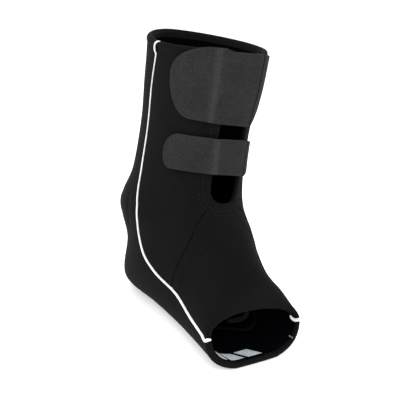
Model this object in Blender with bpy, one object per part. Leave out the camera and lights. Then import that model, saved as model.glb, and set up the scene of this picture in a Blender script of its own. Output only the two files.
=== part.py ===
"""Soft ankle brace: a neoprene sleeve that is open down the shin and closed by two hook-and-loop straps.

The brace stands on its sole with the toes towards -Y, and it is worked out in millimetres from the
dimensions below. The sleeve is one lofted skin: a station number u runs from the rim (0) to the toe
opening (9), and an angle v runs round it, from the shin (0) over the wearer's side (90) to the back
(180). Every panel, tape, thread and strap is a patch of that skin at its own depth, so they all
follow a change of the sleeve's shape.
"""

import math

import bmesh
import bpy
import numpy as np
from mathutils import Vector

MM = 0.001

# Overall sizes of the sleeve
RIM_HEIGHT = 190.0  # front edge of the rim above the sole
RIM_RISE = 7.5  # how much higher the rim is at the back
RIM_FRONT = 42.0  # rim's front edge ahead of the origin
RIM_BACK = 44.5
RIM_HALF_WIDTH = 39.5
RIM_DIP = 4.0  # how much lower the rim is at the side where the straps end
SHIN_FRONT = 36.7  # shin line ahead of the origin, at the narrowest height
SHIN_HALF_WIDTH = 35.6
CALF_BACK = 53.5  # back line behind the origin, above the heel
KEYHOLE_HEIGHT = 89.5  # bottom of the front opening above the sole
ANKLE_HALF_WIDTH = 41.5
CORNER_BACK = 66.0  # pointed fold behind the ankle
CORNER_HEIGHT = 66.0
HEEL_WAIST = 52.0  # hollow between that fold and the heel
HEEL_BACK = 51.5
TOE_REACH = 94.0  # lower lip of the toe opening ahead of the origin
TOE_SETBACK = 9.0  # how far the upper lip stays behind the lower one
TOE_HEIGHT = 35.5
TOE_HALF_WIDTH = 39.0
ARCH_HALF_WIDTH = 31.5
SOLE_SQUARENESS = 0.12  # share by which the sole's section is fuller than an ellipse
SOLE_FLAT = 1.5  # how much of the round sole is pressed flat by the floor

# Material thicknesses
WALL = 4.0  # neoprene laminate
TAPE = 0.9  # hem tape and keyhole facing
LINING = 0.8
PRINT = 0.3
STRAP = 1.6
HOOK = 0.8
THREAD_RADIUS = 0.35
PIPING_RADIUS = 1.1
PIPING_END_RADIUS = 1.25

# Openings, seams and straps
SLIT_HALF = 12.8  # half the width of the front opening at the keyhole
SLIT_RIM_HALF = 10.6
FRONT_TWIST = 5.0  # degrees that the opening and its straps are turned to the right of the shin line
KEYHOLE_ROUND = 15.0  # height of its round end
KEYHOLE_SQUARENESS = 2.8  # 2 would make the round end half an ellipse, and more makes it squarer
HEM_WIDTH = 6.5
FACING_WIDTH = 6.0
SEAM_WIDTH = 3.0
UPPER_STRAP_WIDTH = 48.0
LOWER_STRAP_WIDTH = 25.0
STRAP_TOP = 0.7  # upper strap's edge below the rim
STRAP_GAP = 9.0
STRAP_SEAM = 4.1  # bending line of the sewn end, past the opening's edge
STRAP_OVERLAP = 9.0  # how far the sewn end lies on the right panel beyond that
UPPER_REACH = 38.4  # length of the upper strap past the opening's other edge
LOWER_REACH = 35.5
UPPER_ROUNDS = (25.0, 16.0)  # lengths over which its end is rounded, at the upper and lower edge
LOWER_ROUNDS = (10.0, 8.0)
UPPER_LIFTS = (0.0, 5.5)  # how far its upper and lower edge climb on the way to the tip
LOWER_LIFTS = (4.5, 8.0)
TIP_MARGIN = 3.0  # the strap starts to bend this far past the opening

# Ankle joint
ANKLE_BACK = 4.5  # joint behind the line the other y sizes are taken from
ANKLE_Z = 78.0
DORSIFLEXION = 15.0
PLANTARFLEXION = 25.0
FRONT_FOOT_ANGLE = 1.0  # upper border of the foot's walls, ahead of the joint
BACK_LEG_ANGLE = 3.0  # lower border of the leg's walls, behind the joint

# Clearances
GAP = 0.35  # between pieces that touch
LAYER_GAP = 0.5  # under the walls, whose inner faces are flat between grid lines
CUT_GAP = 0.2  # each side of a cut through one panel
SEAM_GAP = 0.3  # each side of a seam between two panels
FOLD_GAP = 1.6  # each side of a strap's bending line
SWING = 1.0  # degrees left free at the end of the ankle's travel

RIM, SHIN, ANKLE, TOE = 0.0, 3.0, 4.0, 9.0
SEAM_END = 6.85  # station where the instep seam meets the piping
SEAM_START = 3.92
SEAM_BEND = 1.6  # how strongly the seam curves round the ankle
KEYHOLE_TURN = 0.7  # share of the facing that goes round the keyhole's foot
FACING_RISE = 14.0  # length of its straight sides
MIDDLE = (TOE_REACH - CORNER_BACK) / 2  # moves the sleeve's box on to the origin
ANKLE_Y = ANKLE_BACK + MIDDLE
COLOURS = {
    "neoprene": ((0.016, 0.016, 0.018), 0.85),
    "lining": ((0.008, 0.009, 0.013), 0.9),
    "strap": ((0.055, 0.055, 0.058), 0.9),
    "hook": ((0.02, 0.02, 0.02), 0.6),
    "reflective": ((0.75, 0.75, 0.76), 0.45),
    "thread": ((0.03, 0.03, 0.03), 0.7),
    "print": ((0.5, 0.53, 0.56), 0.6),
}


def leg_height(share):
    """Height of the shin line at a share of the way from the keyhole (0) to the rim (1)."""
    return KEYHOLE_HEIGHT + share * (RIM_HEIGHT - KEYHOLE_HEIGHT)


def stations():
    """Rows of front y, front z, back y, back z, half width and widest share, from the rim to the toe."""
    rim_back = RIM_HEIGHT + RIM_RISE
    instep_drop = KEYHOLE_HEIGHT - TOE_HEIGHT
    toe_top = TOE_REACH - TOE_SETBACK
    instep = toe_top - SHIN_FRONT
    rows = [
        (-RIM_FRONT, RIM_HEIGHT, RIM_BACK, rim_back, RIM_HALF_WIDTH, 0.5),
        (-RIM_FRONT + 1.2, leg_height(0.77), RIM_BACK + 0.5, leg_height(0.78), RIM_HALF_WIDTH - 1.5, 0.5),
        (-SHIN_FRONT - 1.0, leg_height(0.51), RIM_BACK + 4.0, leg_height(0.43), SHIN_HALF_WIDTH, 0.5),
        (-SHIN_FRONT, leg_height(0.24), CALF_BACK, leg_height(0.06), SHIN_HALF_WIDTH + 1.0, 0.5),
        (-SHIN_FRONT, KEYHOLE_HEIGHT, CORNER_BACK, CORNER_HEIGHT, ANKLE_HALF_WIDTH, 0.46),
        (-SHIN_FRONT - 0.29 * instep, KEYHOLE_HEIGHT - 0.30 * instep_drop, HEEL_WAIST, CORNER_HEIGHT * 0.6,
         ANKLE_HALF_WIDTH - 1.0, 0.46),
        (-SHIN_FRONT - 0.58 * instep, KEYHOLE_HEIGHT - 0.48 * instep_drop, HEEL_BACK, CORNER_HEIGHT * 0.06,
         ANKLE_HALF_WIDTH - 2.5, 0.47),
        (-SHIN_FRONT - 0.80 * instep, KEYHOLE_HEIGHT - 0.61 * instep_drop, HEEL_BACK - 45.0, -SOLE_FLAT,
         ARCH_HALF_WIDTH, 0.45),
        (-SHIN_FRONT - 0.94 * instep, KEYHOLE_HEIGHT - 0.79 * instep_drop, -0.52 * TOE_REACH, -SOLE_FLAT,
         (ARCH_HALF_WIDTH + TOE_HALF_WIDTH) / 2, 0.40),
        (-toe_top, TOE_HEIGHT, -TOE_REACH, -SOLE_FLAT, TOE_HALF_WIDTH, 0.36),
    ]
    return np.array(rows) + [MIDDLE, 0, MIDDLE, 0, 0, 0]


STATIONS = stations()


def along(values, u):
    """Catmull-Rom curve through one value or row of values for each station, read at the stations u."""
    ends = [2 * values[0] - values[1]], [2 * values[-1] - values[-2]]
    points = np.concatenate([ends[0], values, ends[1]])
    index = np.clip(np.floor(u).astype(int), 0, len(values) - 2)
    t = (u - index)[..., None]
    a, b, c, d = (points[index + k] for k in range(4))
    return 0.5 * (2 * b + (c - a) * t + (2 * a - 5 * b + 4 * c - d) * t**2 + (3 * b - a - 3 * c + d) * t**3)


def loft(u, v):
    """The round skin before the floor flattens it. Behind the widest line the foot is a little squarer."""
    u, v = np.broadcast_arrays(np.asarray(u, float), np.asarray(v, float))
    front_y, front_z, back_y, back_z, half, widest = np.moveaxis(along(STATIONS, u), -1, 0)
    v = v + math.radians(FRONT_TWIST) * np.interp(u, [ANKLE + 1, ANKLE + 3], [1, 0]) * np.maximum(0, np.cos(v)) ** 2
    cos, sin = np.cos(v), np.sin(v)
    square = np.interp(u, [ANKLE + 1, ANKLE + 3], [0.0, SOLE_SQUARENESS])
    behind = widest - (1 - widest) * cos * (1 + square * sin**2)
    share = np.where(cos > 0, widest * (1 - cos), behind)
    side = sin * np.where(cos > 0, 1, 1 + square * cos**2)
    y = front_y + (back_y - front_y) * share
    z = front_z + (back_z - front_z) * share - RIM_DIP * np.clip(1 - u, 0, 1) ** 2 * np.clip(-sin, 0, 1) ** 2
    return np.stack([half * side, y, z], -1)


def skin(u, v, depth=0.0):
    """Points on the sleeve at a depth under its outer face, in millimetres; v is in radians."""
    u, v, depth = np.broadcast_arrays(*(np.asarray(a, float) for a in (u, v, depth)))
    step = 0.01
    down = loft(u + step, v) - loft(u - step, v)
    round_ = loft(u, v + step) - loft(u, v - step)
    outward = np.cross(down, round_)
    outward /= np.linalg.norm(outward, axis=-1, keepdims=True)
    face = loft(u, v)
    point = face - outward * depth[..., None]
    point[..., 2] += np.maximum(0.0, -face[..., 2])
    return point


def angle_for(u, v, length):
    """The angle that spans a length of skin round the sleeve, at station u and near angle v."""
    step = 0.02
    per_radian = np.linalg.norm(loft(u, v + step) - loft(u, v - step), axis=-1) / (2 * step)
    return length / per_radian


def piping_angle(u):
    """Angle of the piping, which runs down the side and on to the corner of the toe opening."""
    degrees = np.array([87.5, 93.0, 95.5, 93.0, 83.0, 92.0, 80.0, 89.0, 96.0, 91.5])
    return np.radians(along(degrees[:, None], np.asarray(u, float))[..., 0])


def slit_half_length(u):
    """Half the width of the front opening, which ends in a half round at the keyhole."""
    u = np.asarray(u, float)
    half = SLIT_HALF + (SLIT_RIM_HALF - SLIT_HALF) * np.clip(1 - u / SHIN, 0, 1)
    below = np.clip(height_below(u) / KEYHOLE_ROUND, 0, 1)
    return half * np.clip(1 - below**KEYHOLE_SQUARENESS, 0, 1) ** (1 / KEYHOLE_SQUARENESS)


def height_below(u):
    """How far a station lies below the centre of the keyhole's round end, on the shin line."""
    shin = along(STATIONS, np.asarray(u, float))[..., 1]
    return KEYHOLE_ROUND - (shin - KEYHOLE_HEIGHT)


def slit_angle(u):
    return angle_for(u, 0.0, slit_half_length(u))


def seam_angle(u):
    """Angle of the seam between side panel and instep, from the keyhole to the piping."""
    share = np.clip((np.asarray(u, float) - SEAM_START) / (SEAM_END - SEAM_START), 0, 1)
    start = slit_angle(SEAM_START)
    end = piping_angle(SEAM_END)
    bend = SEAM_BEND * share * (1 - share) * (0.4 - share)
    return start + (end - start) * (share + bend)


def front_angle(u):
    """Front edge of a side panel: the opening's edge, then the instep seam."""
    u = np.asarray(u, float)
    return np.where(u < SEAM_START, slit_angle(np.minimum(u, SEAM_START)), seam_angle(u))


def station_down(distance):
    """The station at a distance down the shin line from the rim."""
    u = np.linspace(RIM, TOE, 400)
    steps = np.linalg.norm(np.diff(loft(u, 0.0), axis=0), axis=1)
    return float(np.interp(distance, np.concatenate([[0], np.cumsum(steps)]), u))


def material(name):
    """The named finish, made once."""
    found = bpy.data.materials.get(name)
    if found:
        return found
    colour, roughness = COLOURS[name]
    made = bpy.data.materials.new(name)
    made.use_nodes = True
    shader = made.node_tree.nodes["Principled BSDF"]
    shader.inputs["Base Color"].default_value = (*colour, 1)
    shader.inputs["Roughness"].default_value = roughness
    made.diffuse_color = (*colour, 1)
    return made


def add_mesh(name, points, faces, finish):
    """A new object from points in millimetres and lists of corners."""
    mesh = bpy.data.meshes.new(name)
    mesh.from_pydata((np.asarray(points) * MM).tolist(), [], faces)
    mesh.validate()
    mesh.materials.append(material(finish))
    mesh.shade_smooth()
    mesh.set_sharp_from_angle(angle=math.radians(40))
    made = bpy.data.objects.new(name, mesh)
    bpy.context.scene.collection.objects.link(made)
    return made


def grid_faces(rows, columns, outer, inner):
    """Faces of a closed slab whose two sides are grids of corner numbers."""
    faces = []
    for i in range(rows - 1):
        for j in range(columns - 1):
            faces.append([outer[i, j], outer[i + 1, j], outer[i + 1, j + 1], outer[i, j + 1]])
            faces.append([inner[i, j + 1], inner[i + 1, j + 1], inner[i + 1, j], inner[i, j]])
    for i in range(rows - 1):
        faces.append([inner[i, 0], inner[i + 1, 0], outer[i + 1, 0], outer[i, 0]])
        faces.append([outer[i, -1], outer[i + 1, -1], inner[i + 1, -1], inner[i, -1]])
    for j in range(columns - 1):
        faces.append([outer[0, j], outer[0, j + 1], inner[0, j + 1], inner[0, j]])
        faces.append([inner[-1, j], inner[-1, j + 1], outer[-1, j + 1], outer[-1, j]])
    return [[int(k) for k in face] for face in faces]


def slab(name, u, v, top, bottom, finish):
    """A patch of the sleeve as a closed slab; top and bottom are depths, and v rises along a row."""
    u, v = np.broadcast_arrays(u, v)
    points = np.concatenate([skin(u, v, top).reshape(-1, 3), skin(u, v, bottom).reshape(-1, 3)])
    outer = np.arange(u.size).reshape(u.shape)
    return add_mesh(name, points, grid_faces(*u.shape, outer, outer + u.size), finish)


def mirrored(u, v):
    """The same patch on the wearer's other side, with v still rising along a row."""
    return u[:, ::-1], -v[:, ::-1]


def tube(name, path, radius, finish, resolution=1):
    """A round cord along a path in millimetres."""
    curve = bpy.data.curves.new(name, "CURVE")
    curve.dimensions = "3D"
    curve.bevel_depth = radius * MM
    curve.bevel_resolution = resolution
    curve.use_fill_caps = True
    line = curve.splines.new("POLY")
    line.points.add(len(path) - 1)
    for point, place in zip(line.points, path, strict=True):
        point.co = (*(place * MM), 1)
    curve.materials.append(material(finish))
    made = bpy.data.objects.new(name, curve)
    bpy.context.scene.collection.objects.link(made)
    return made


def seam_stations():
    """Stations of the instep panel's rows at its sides, which the side panels share so that the seams match."""
    start = SEAM_START + 0.01
    return start + (TOE - start) * np.linspace(0, 1, 29)


def side_patch():
    """Grid of the right side panel, from the opening's edge to the piping."""
    seam = seam_stations()
    u = np.concatenate([np.linspace(RIM, 3.5, 11)[:-1], np.linspace(3.5, SEAM_START, 4)[:-1],
                        seam[seam < SEAM_END - 0.2], [SEAM_END - 0.12]])[:, None]
    share = np.linspace(0, 1, 9)[None, :]
    front = front_angle(u) + angle_for(u, front_angle(u), SEAM_GAP)
    back = piping_border(u)
    return np.broadcast_arrays(u, front + (back - front) * share)


def back_patch():
    """Grid of the panel behind the pipings, which is the sole as well."""
    u = np.linspace(RIM, TOE, 34)[:, None]
    share = np.linspace(-1, 1, 21)[None, :]
    half = math.pi - (2 * piping_angle(u) - piping_border(u))
    return np.broadcast_arrays(u, math.pi + half * share)


def piping_border(u):
    """Angle at which a panel in front of the piping ends."""
    piping = piping_angle(u)
    return piping - angle_for(u, piping, PIPING_RADIUS + 2 * GAP)


def instep_border(u):
    """Half the instep panel's angle: up to the seam, and below it up to the piping."""
    below = piping_border(u)
    return np.where(u < SEAM_END, np.minimum(seam_angle(u) - angle_for(u, seam_angle(u), SEAM_GAP), below), below)


def instep_patch():
    """Grid of the instep panel, from the keyhole's round end to the toe opening."""
    across = np.linspace(-1, 1, 13)[None, :]
    down = np.linspace(0, 1, 29)[:, None]
    top = ANKLE - (ANKLE - SEAM_START) * across**2 + 0.01
    u = top + (TOE - top) * down
    return u, across * instep_border(u)


def sector(name, angles, reach=260.0):
    """A wedge-shaped cutter with its edge on the ankle axis, between angles above the toe direction."""
    low, high = (math.radians(a) for a in angles)
    middle = (low + high) / 2
    shift = CUT_GAP / max(0.05, math.sin(min(high - low, math.pi) / 2))
    apex = np.array([ANKLE_Y - shift * math.cos(middle), ANKLE_Z + shift * math.sin(middle)])
    turns = np.linspace(low, high, max(2, math.ceil((high - low) / 0.7) + 1))
    rim = [apex + reach * np.array([-math.cos(a), math.sin(a)]) for a in turns]
    outline = [apex, *rim]
    mesh = bpy.data.meshes.new(name)
    shape = bmesh.new()
    corners = [shape.verts.new((-reach * MM, y * MM, z * MM)) for y, z in outline]
    face = shape.faces.new(corners)
    grown = bmesh.ops.extrude_face_region(shape, geom=[face])["geom"]
    moved = [item for item in grown if isinstance(item, bmesh.types.BMVert)]
    bmesh.ops.translate(shape, verts=moved, vec=(2 * reach * MM, 0, 0))
    bmesh.ops.recalc_face_normals(shape, faces=shape.faces)
    shape.to_mesh(mesh)
    shape.free()
    cutter = bpy.data.objects.new(name, mesh)
    cutter.hide_render = True
    cutter.display_type = "WIRE"
    bpy.context.scene.collection.objects.link(cutter)
    return cutter


def cut_panel(panel, sections):
    """Replaces a whole panel by its parts: sections gives each part's name and the cutter it lies in."""
    for name, cutter in sections.items():
        part = bpy.data.objects.new(name, panel.data)
        bpy.context.scene.collection.objects.link(part)
        keep = part.modifiers.new("keep", "BOOLEAN")
        keep.operation = "INTERSECT"
        keep.solver = "EXACT"
        keep.object = cutter
    bpy.data.objects.remove(panel)


def ankle_sectors():
    """The cutters for the leg's walls, the foot's walls and the two soft wedges that flex between them."""
    front_leg = FRONT_FOOT_ANGLE + DORSIFLEXION + SWING
    back_leg = 180 - BACK_LEG_ANGLE
    back_foot = back_leg + PLANTARFLEXION + SWING
    return {
        "leg": sector("leg_sector", (front_leg, back_leg)),
        "foot": sector("foot_sector", (back_foot, 360 + FRONT_FOOT_ANGLE)),
        "front": sector("front_flex_sector", (FRONT_FOOT_ANGLE, front_leg)),
        "back": sector("back_flex_sector", (back_leg, back_foot)),
    }


def build_panels():
    """The neoprene: two side panels, the back with heel and sole, and the instep, cut where the ankle flexes."""
    cuts = ankle_sectors()
    right = side_patch()
    for side, (u, v) in (("right", right), ("left", mirrored(*right))):
        panel = slab("panel", u, v, 0.0, WALL, "neoprene")
        cut_panel(panel, {
            f"{side}_side_panel_upper": cuts["leg"],
            f"{side}_side_panel_flex": cuts["front"],
            f"{side}_side_panel_lower": cuts["foot"],
        })
    panel = slab("panel", *back_patch(), 0.0, WALL, "neoprene")
    cut_panel(panel, {
        "back_panel_upper": cuts["leg"],
        "achilles_flex": cuts["back"],
        "heel_and_sole_panel": cuts["foot"],
    })
    panel = slab("panel", *instep_patch(), 0.0, WALL, "neoprene")
    cut_panel(panel, {"instep_panel": cuts["foot"], "instep_panel_flex": cuts["front"]})


def build_tapes():
    """Hem tape inside the rim, facing round the keyhole, and the printed lining on the sole."""
    inside = WALL + LAYER_GAP
    start = slit_angle(RIM) + angle_for(RIM, 0.5, CUT_GAP)
    v = np.linspace(start, 2 * math.pi - start, 41)[None, :]
    u = np.array([0.02, station_down(HEM_WIDTH / 2), station_down(HEM_WIDTH)])[:, None]
    slab("rim_hem_tape", u, v, inside, inside + TAPE, "lining")

    turns = np.linspace(-1, 1, 29)[None, :]
    inner, outer = (facing_line(turns, width) for width in (0.4, FACING_WIDTH))
    across = np.linspace(0, 1, 3)[:, None]
    u = outer[0] + (inner[0] - outer[0]) * across
    v = outer[1] + (inner[1] - outer[1]) * across
    slab("keyhole_facing", u[::-1], v[::-1], inside, inside + TAPE, "lining")

    u = np.linspace(6.9, TOE - 0.03, 10)[:, None]
    v = math.pi + np.linspace(-1, 1, 13)[None, :] * 1.05
    slab("sole_lining", u, v, inside, inside + LINING, "lining")
    top = inside + LINING + GAP
    u = np.linspace(TOE - 0.48, TOE - 0.06, 4)[:, None]
    v = np.linspace(math.pi, math.pi + 0.85, 9)[None, :]
    slab("sole_print", u, v, top, top + PRINT, "print")


def facing_line(turn, width):
    """A line round the keyhole at a distance from its edge; turn runs from one side (-1) to the other (1)."""
    swing = np.minimum(np.abs(turn) / KEYHOLE_TURN, 1) * math.pi / 2
    power = 2 / KEYHOLE_SQUARENESS
    across = np.sign(turn) * (SLIT_HALF + width) * np.sin(swing) ** power
    above = np.maximum(0, np.abs(turn) - KEYHOLE_TURN) * FACING_RISE / (1 - KEYHOLE_TURN)
    up = (KEYHOLE_ROUND + width) * (1 - np.maximum(np.cos(swing), 0) ** power) - width + above
    u_fine = np.linspace(SHIN - 1.5, ANKLE + 1.0, 200)
    height = along(STATIONS, u_fine)[:, 1]
    u = np.interp(-(KEYHOLE_HEIGHT + up), -height, u_fine)
    return u, angle_for(u, 0.0, across)


def build_trim():
    """Piping with its turned-in ends, the sewn seams and the rows of thread."""
    proud = -(PIPING_END_RADIUS + GAP)
    ends = {"rim": np.array([0.42, 0.3, 0.18, 0.06]), "toe": np.array([8.62, 8.72, 8.82, 8.92])}
    for side, sign in (("right", 1), ("left", -1)):
        u = np.linspace(ends["rim"][0] + 0.06, ends["toe"][0] - 0.05, 64)
        tube(f"{side}_piping", skin(u, sign * piping_angle(u), -0.2), PIPING_RADIUS, "reflective")
        for edge, stations_ in ends.items():
            v = sign * piping_angle(stations_)
            outside = skin(stations_, v, proud)
            lip = RIM if edge == "rim" else TOE
            away = loft(lip, v[-1]) - loft(abs(lip - 0.2), v[-1])
            away *= (PIPING_END_RADIUS + 2 * GAP) / np.linalg.norm(away)
            within = WALL + LAYER_GAP + TAPE + GAP + PIPING_END_RADIUS
            over = [skin(lip, v[-1], depth) + away for depth in (proud * 0.6, within / 2, within - 0.4)]
            inside = skin(stations_[::-1][:2], v[::-1][:2], within)
            path = np.concatenate([outside, over, inside])
            tube(f"{side}_piping_{edge}_end", path, PIPING_END_RADIUS, "reflective")

    u = np.linspace(SEAM_START + 0.55, SEAM_END - 0.25, 17)[:, None]
    middle = seam_angle(u)
    half = angle_for(u, middle, SEAM_WIDTH / 2)
    right = np.broadcast_arrays(u, middle + half * np.array([[-1.0, 0.0, 1.0]]))
    slab("right_instep_seam", *right, -GAP - 2 * THREAD_RADIUS, -GAP, "thread")
    slab("left_instep_seam", *mirrored(*right), -GAP - 2 * THREAD_RADIUS, -GAP, "thread")

    turns = np.linspace(-0.69, 0.69, 31)
    tube("keyhole_stitching", skin(*facing_line(turns, FACING_WIDTH), -GAP - THREAD_RADIUS),
         THREAD_RADIUS, "thread", 0)
    u = station_down(HEM_WIDTH)
    start = piping_angle(u) + angle_for(u, 1.5, PIPING_END_RADIUS + 2)
    v = np.linspace(start, 2 * math.pi - start, 31)
    tube("rim_stitching", skin(u, v, -GAP - THREAD_RADIUS), THREAD_RADIUS, "thread", 0)


class Strap:
    """One hook-and-loop strap: its sewn end, the length over the opening, the tip and the hook patch."""

    def __init__(self, name, top, width, reach, rounds, lifts):
        self.name = name
        self.top_edge = station_down(top)
        self.low_edge = station_down(top + width)
        self.middle = (self.low_edge + self.top_edge) / 2
        per_mm = (self.low_edge - self.top_edge) / width
        self.climbs = [lift * per_mm for lift in lifts]
        self.width = width
        self.rounds = rounds
        edge = float(slit_half_length(self.middle))
        self.seam = edge + STRAP_SEAM
        self.fold = -(edge + TIP_MARGIN)
        self.end = -(edge + reach)

    def angle(self, length):
        """The angle at a length round the sleeve from the shin line, positive on the right."""
        v = np.linspace(-math.pi / 2 - 0.6, math.pi / 2, 200)
        steps = np.linalg.norm(np.diff(loft(self.middle, v), axis=0), axis=1)
        run = np.concatenate([[0], np.cumsum(steps)])
        return np.interp(length, run - np.interp(0.0, v, run), v)

    def under(self, length):
        """Depth of the strap's inner face: it lies on the panel at its seam and on the hook patch past the fold."""
        share = np.clip((self.seam - length) / (self.seam - self.fold), 0, 1)
        return -(GAP + (HOOK + GAP) * share**2 * (3 - 2 * share))

    def station(self, length, across):
        """The station at a length and a place across the strap, from its upper edge (-1) to its lower one (1)."""
        share = np.clip((self.seam - length) / (self.seam - self.end), 0, 1)
        top = self.top_edge - self.climbs[0] * share
        low = self.low_edge - self.climbs[1] * share
        return (top + low) / 2 + across * (low - top) / 2

    def patch(self, start, end, columns, rows=5, inset=0.0):
        """Grid between two lengths, end lying nearer the tip, narrowed by the round of the tip."""
        length = np.linspace(end, start, columns)[None, :]
        halves = []
        for rounding in self.rounds:
            into = np.clip((self.end + rounding - length) / rounding, 0, 0.985)
            halves.append((1 - inset / self.width * 2) * np.maximum(0.22, np.sqrt(1 - into**2)))
        across = np.linspace(-halves[0][0], halves[1][0], rows)
        u, v = np.broadcast_arrays(self.station(length, across), self.angle(length))
        return u, v, self.under(length)

    def hinge(self, length):
        """Two points on a bending line across the strap, the lower one first."""
        depth = self.under(length) - STRAP / 2
        return [skin(self.station(length, across), self.angle(length), depth) for across in (0.7, -0.7)]

    def build(self):
        u, v, under = self.patch(self.seam + FOLD_GAP + STRAP_OVERLAP, self.seam + FOLD_GAP, 4)
        slab(f"{self.name}_strap_anchor", u, v, under - STRAP, under, "strap")
        u, v, under = self.patch(self.seam - FOLD_GAP, self.fold + FOLD_GAP, 11)
        slab(f"{self.name}_strap", u, v, under - STRAP, under, "strap")
        u, v, under = self.patch(self.fold - FOLD_GAP, self.end, 14)
        slab(f"{self.name}_strap_tip", u, v, under - STRAP, under, "strap")
        u, v, under = self.patch(self.fold - 2 * FOLD_GAP, self.end + 3.0, 12, inset=2.0)
        slab(f"{self.name}_hook_patch", u, v, under + GAP, -GAP, "hook")
        length = self.seam + FOLD_GAP + STRAP_OVERLAP / 4
        u = self.station(length, np.linspace(-0.9, 0.9, 9))
        over = self.under(length) - STRAP - GAP - THREAD_RADIUS
        tube(f"{self.name}_strap_stitching", skin(u, self.angle(length), over), THREAD_RADIUS, "thread", 0)


def straps():
    lower_top = STRAP_TOP + UPPER_STRAP_WIDTH + STRAP_GAP
    return [
        Strap("upper", STRAP_TOP, UPPER_STRAP_WIDTH, UPPER_REACH, UPPER_ROUNDS, UPPER_LIFTS),
        Strap("lower", lower_top, LOWER_STRAP_WIDTH, LOWER_REACH, LOWER_ROUNDS, LOWER_LIFTS),
    ]


def add_joint_markers():
    """Empties on the joints' axes: the ankle's at its centre, each strap's at its bending lines."""
    places = {"ankle_axis": Vector((0, ANKLE_Y, ANKLE_Z)) * MM}
    for strap in straps():
        for line, length in (("seam", strap.seam), ("fold", strap.fold)):
            low, high = strap.hinge(length)
            places[f"{strap.name}_strap_{line}_axis"] = Vector((low + high) / 2) * MM
    for name, place in places.items():
        marker = bpy.data.objects.new(name, None)
        marker.location = place
        marker.empty_display_size = 10 * MM
        bpy.context.scene.collection.objects.link(marker)


def main():
    for old in list(bpy.data.objects):
        bpy.data.objects.remove(old)
    build_panels()
    build_tapes()
    build_trim()
    for strap in straps():
        strap.build()
    add_joint_markers()


if __name__ == "__main__":
    main()
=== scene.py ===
"""Soft ankle brace: foam panels, piping, straps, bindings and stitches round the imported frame.

Everything is worked out in millimetres on one skin, as a function of a station u, from the rim (0)
to the toe opening (9), and an angle v round the sleeve, from the shin (0) over the right side.
"""

import logging
import math
from collections.abc import Callable, Sequence
from dataclasses import dataclass, field
from enum import Enum

import bpy
import numpy as np
from mathutils import Matrix, Vector


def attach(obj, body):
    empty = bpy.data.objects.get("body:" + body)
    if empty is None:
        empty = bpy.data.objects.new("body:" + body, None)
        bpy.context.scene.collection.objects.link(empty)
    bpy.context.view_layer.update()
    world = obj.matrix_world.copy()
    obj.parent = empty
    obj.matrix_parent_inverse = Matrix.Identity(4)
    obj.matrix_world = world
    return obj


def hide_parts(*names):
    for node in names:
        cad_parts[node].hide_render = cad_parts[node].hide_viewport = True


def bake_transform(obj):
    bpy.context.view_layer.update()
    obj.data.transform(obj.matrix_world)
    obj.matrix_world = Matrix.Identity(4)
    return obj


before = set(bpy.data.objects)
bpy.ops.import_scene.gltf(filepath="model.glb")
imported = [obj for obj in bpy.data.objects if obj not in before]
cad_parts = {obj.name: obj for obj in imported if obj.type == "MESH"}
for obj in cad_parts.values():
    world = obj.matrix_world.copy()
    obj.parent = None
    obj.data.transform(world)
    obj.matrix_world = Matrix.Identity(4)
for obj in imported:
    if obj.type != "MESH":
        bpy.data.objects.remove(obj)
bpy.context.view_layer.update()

MM = 0.001
LOG = logging.getLogger("ankle_brace")

RIM, SHIN, ANKLE, TOE = 0.0, 3.0, 4.0, 9.0


class Side(Enum):
    """The wearer's side a mirrored piece is on; the value is the sign of its angles."""

    RIGHT = 1
    LEFT = -1

    @property
    def label(self) -> str:
        """The side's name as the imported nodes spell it."""
        return self.name.lower()


class Hold(Enum):
    """Which body a piece moves with, or the ankle, where a piece is left unattached."""

    FOOT = "foot"
    LEG = "leg"
    ANKLE = "ankle"


# ---------------------------------------------------------------------------------------------------
# Shape of the sleeve


def bell(value: np.ndarray, middle: float | np.ndarray, width: float) -> np.ndarray:
    """A bell curve: e to the minus square of the distance over the width."""
    return np.exp(-(((value - middle) / width) ** 2))


def half_turn(v: np.ndarray) -> np.ndarray:
    """The same angle between minus and plus a half turn."""
    return (v + math.pi) % (2 * math.pi) - math.pi


def run_along(points: np.ndarray, axis: int = 0) -> np.ndarray:
    """Length along a line, or along each row or column of a grid, from its first point.

    Args:
        points: Points, with their coordinates on the last axis.
        axis: The axis to go along.

    Returns:
        One length for each point: the running sum of the steps between neighbours.
    """
    steps = np.linalg.norm(np.diff(points, axis=axis), axis=-1)
    pad = [(0, 0)] * steps.ndim
    pad[axis] = (1, 0)
    return np.pad(np.cumsum(steps, axis=axis), pad)


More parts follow.
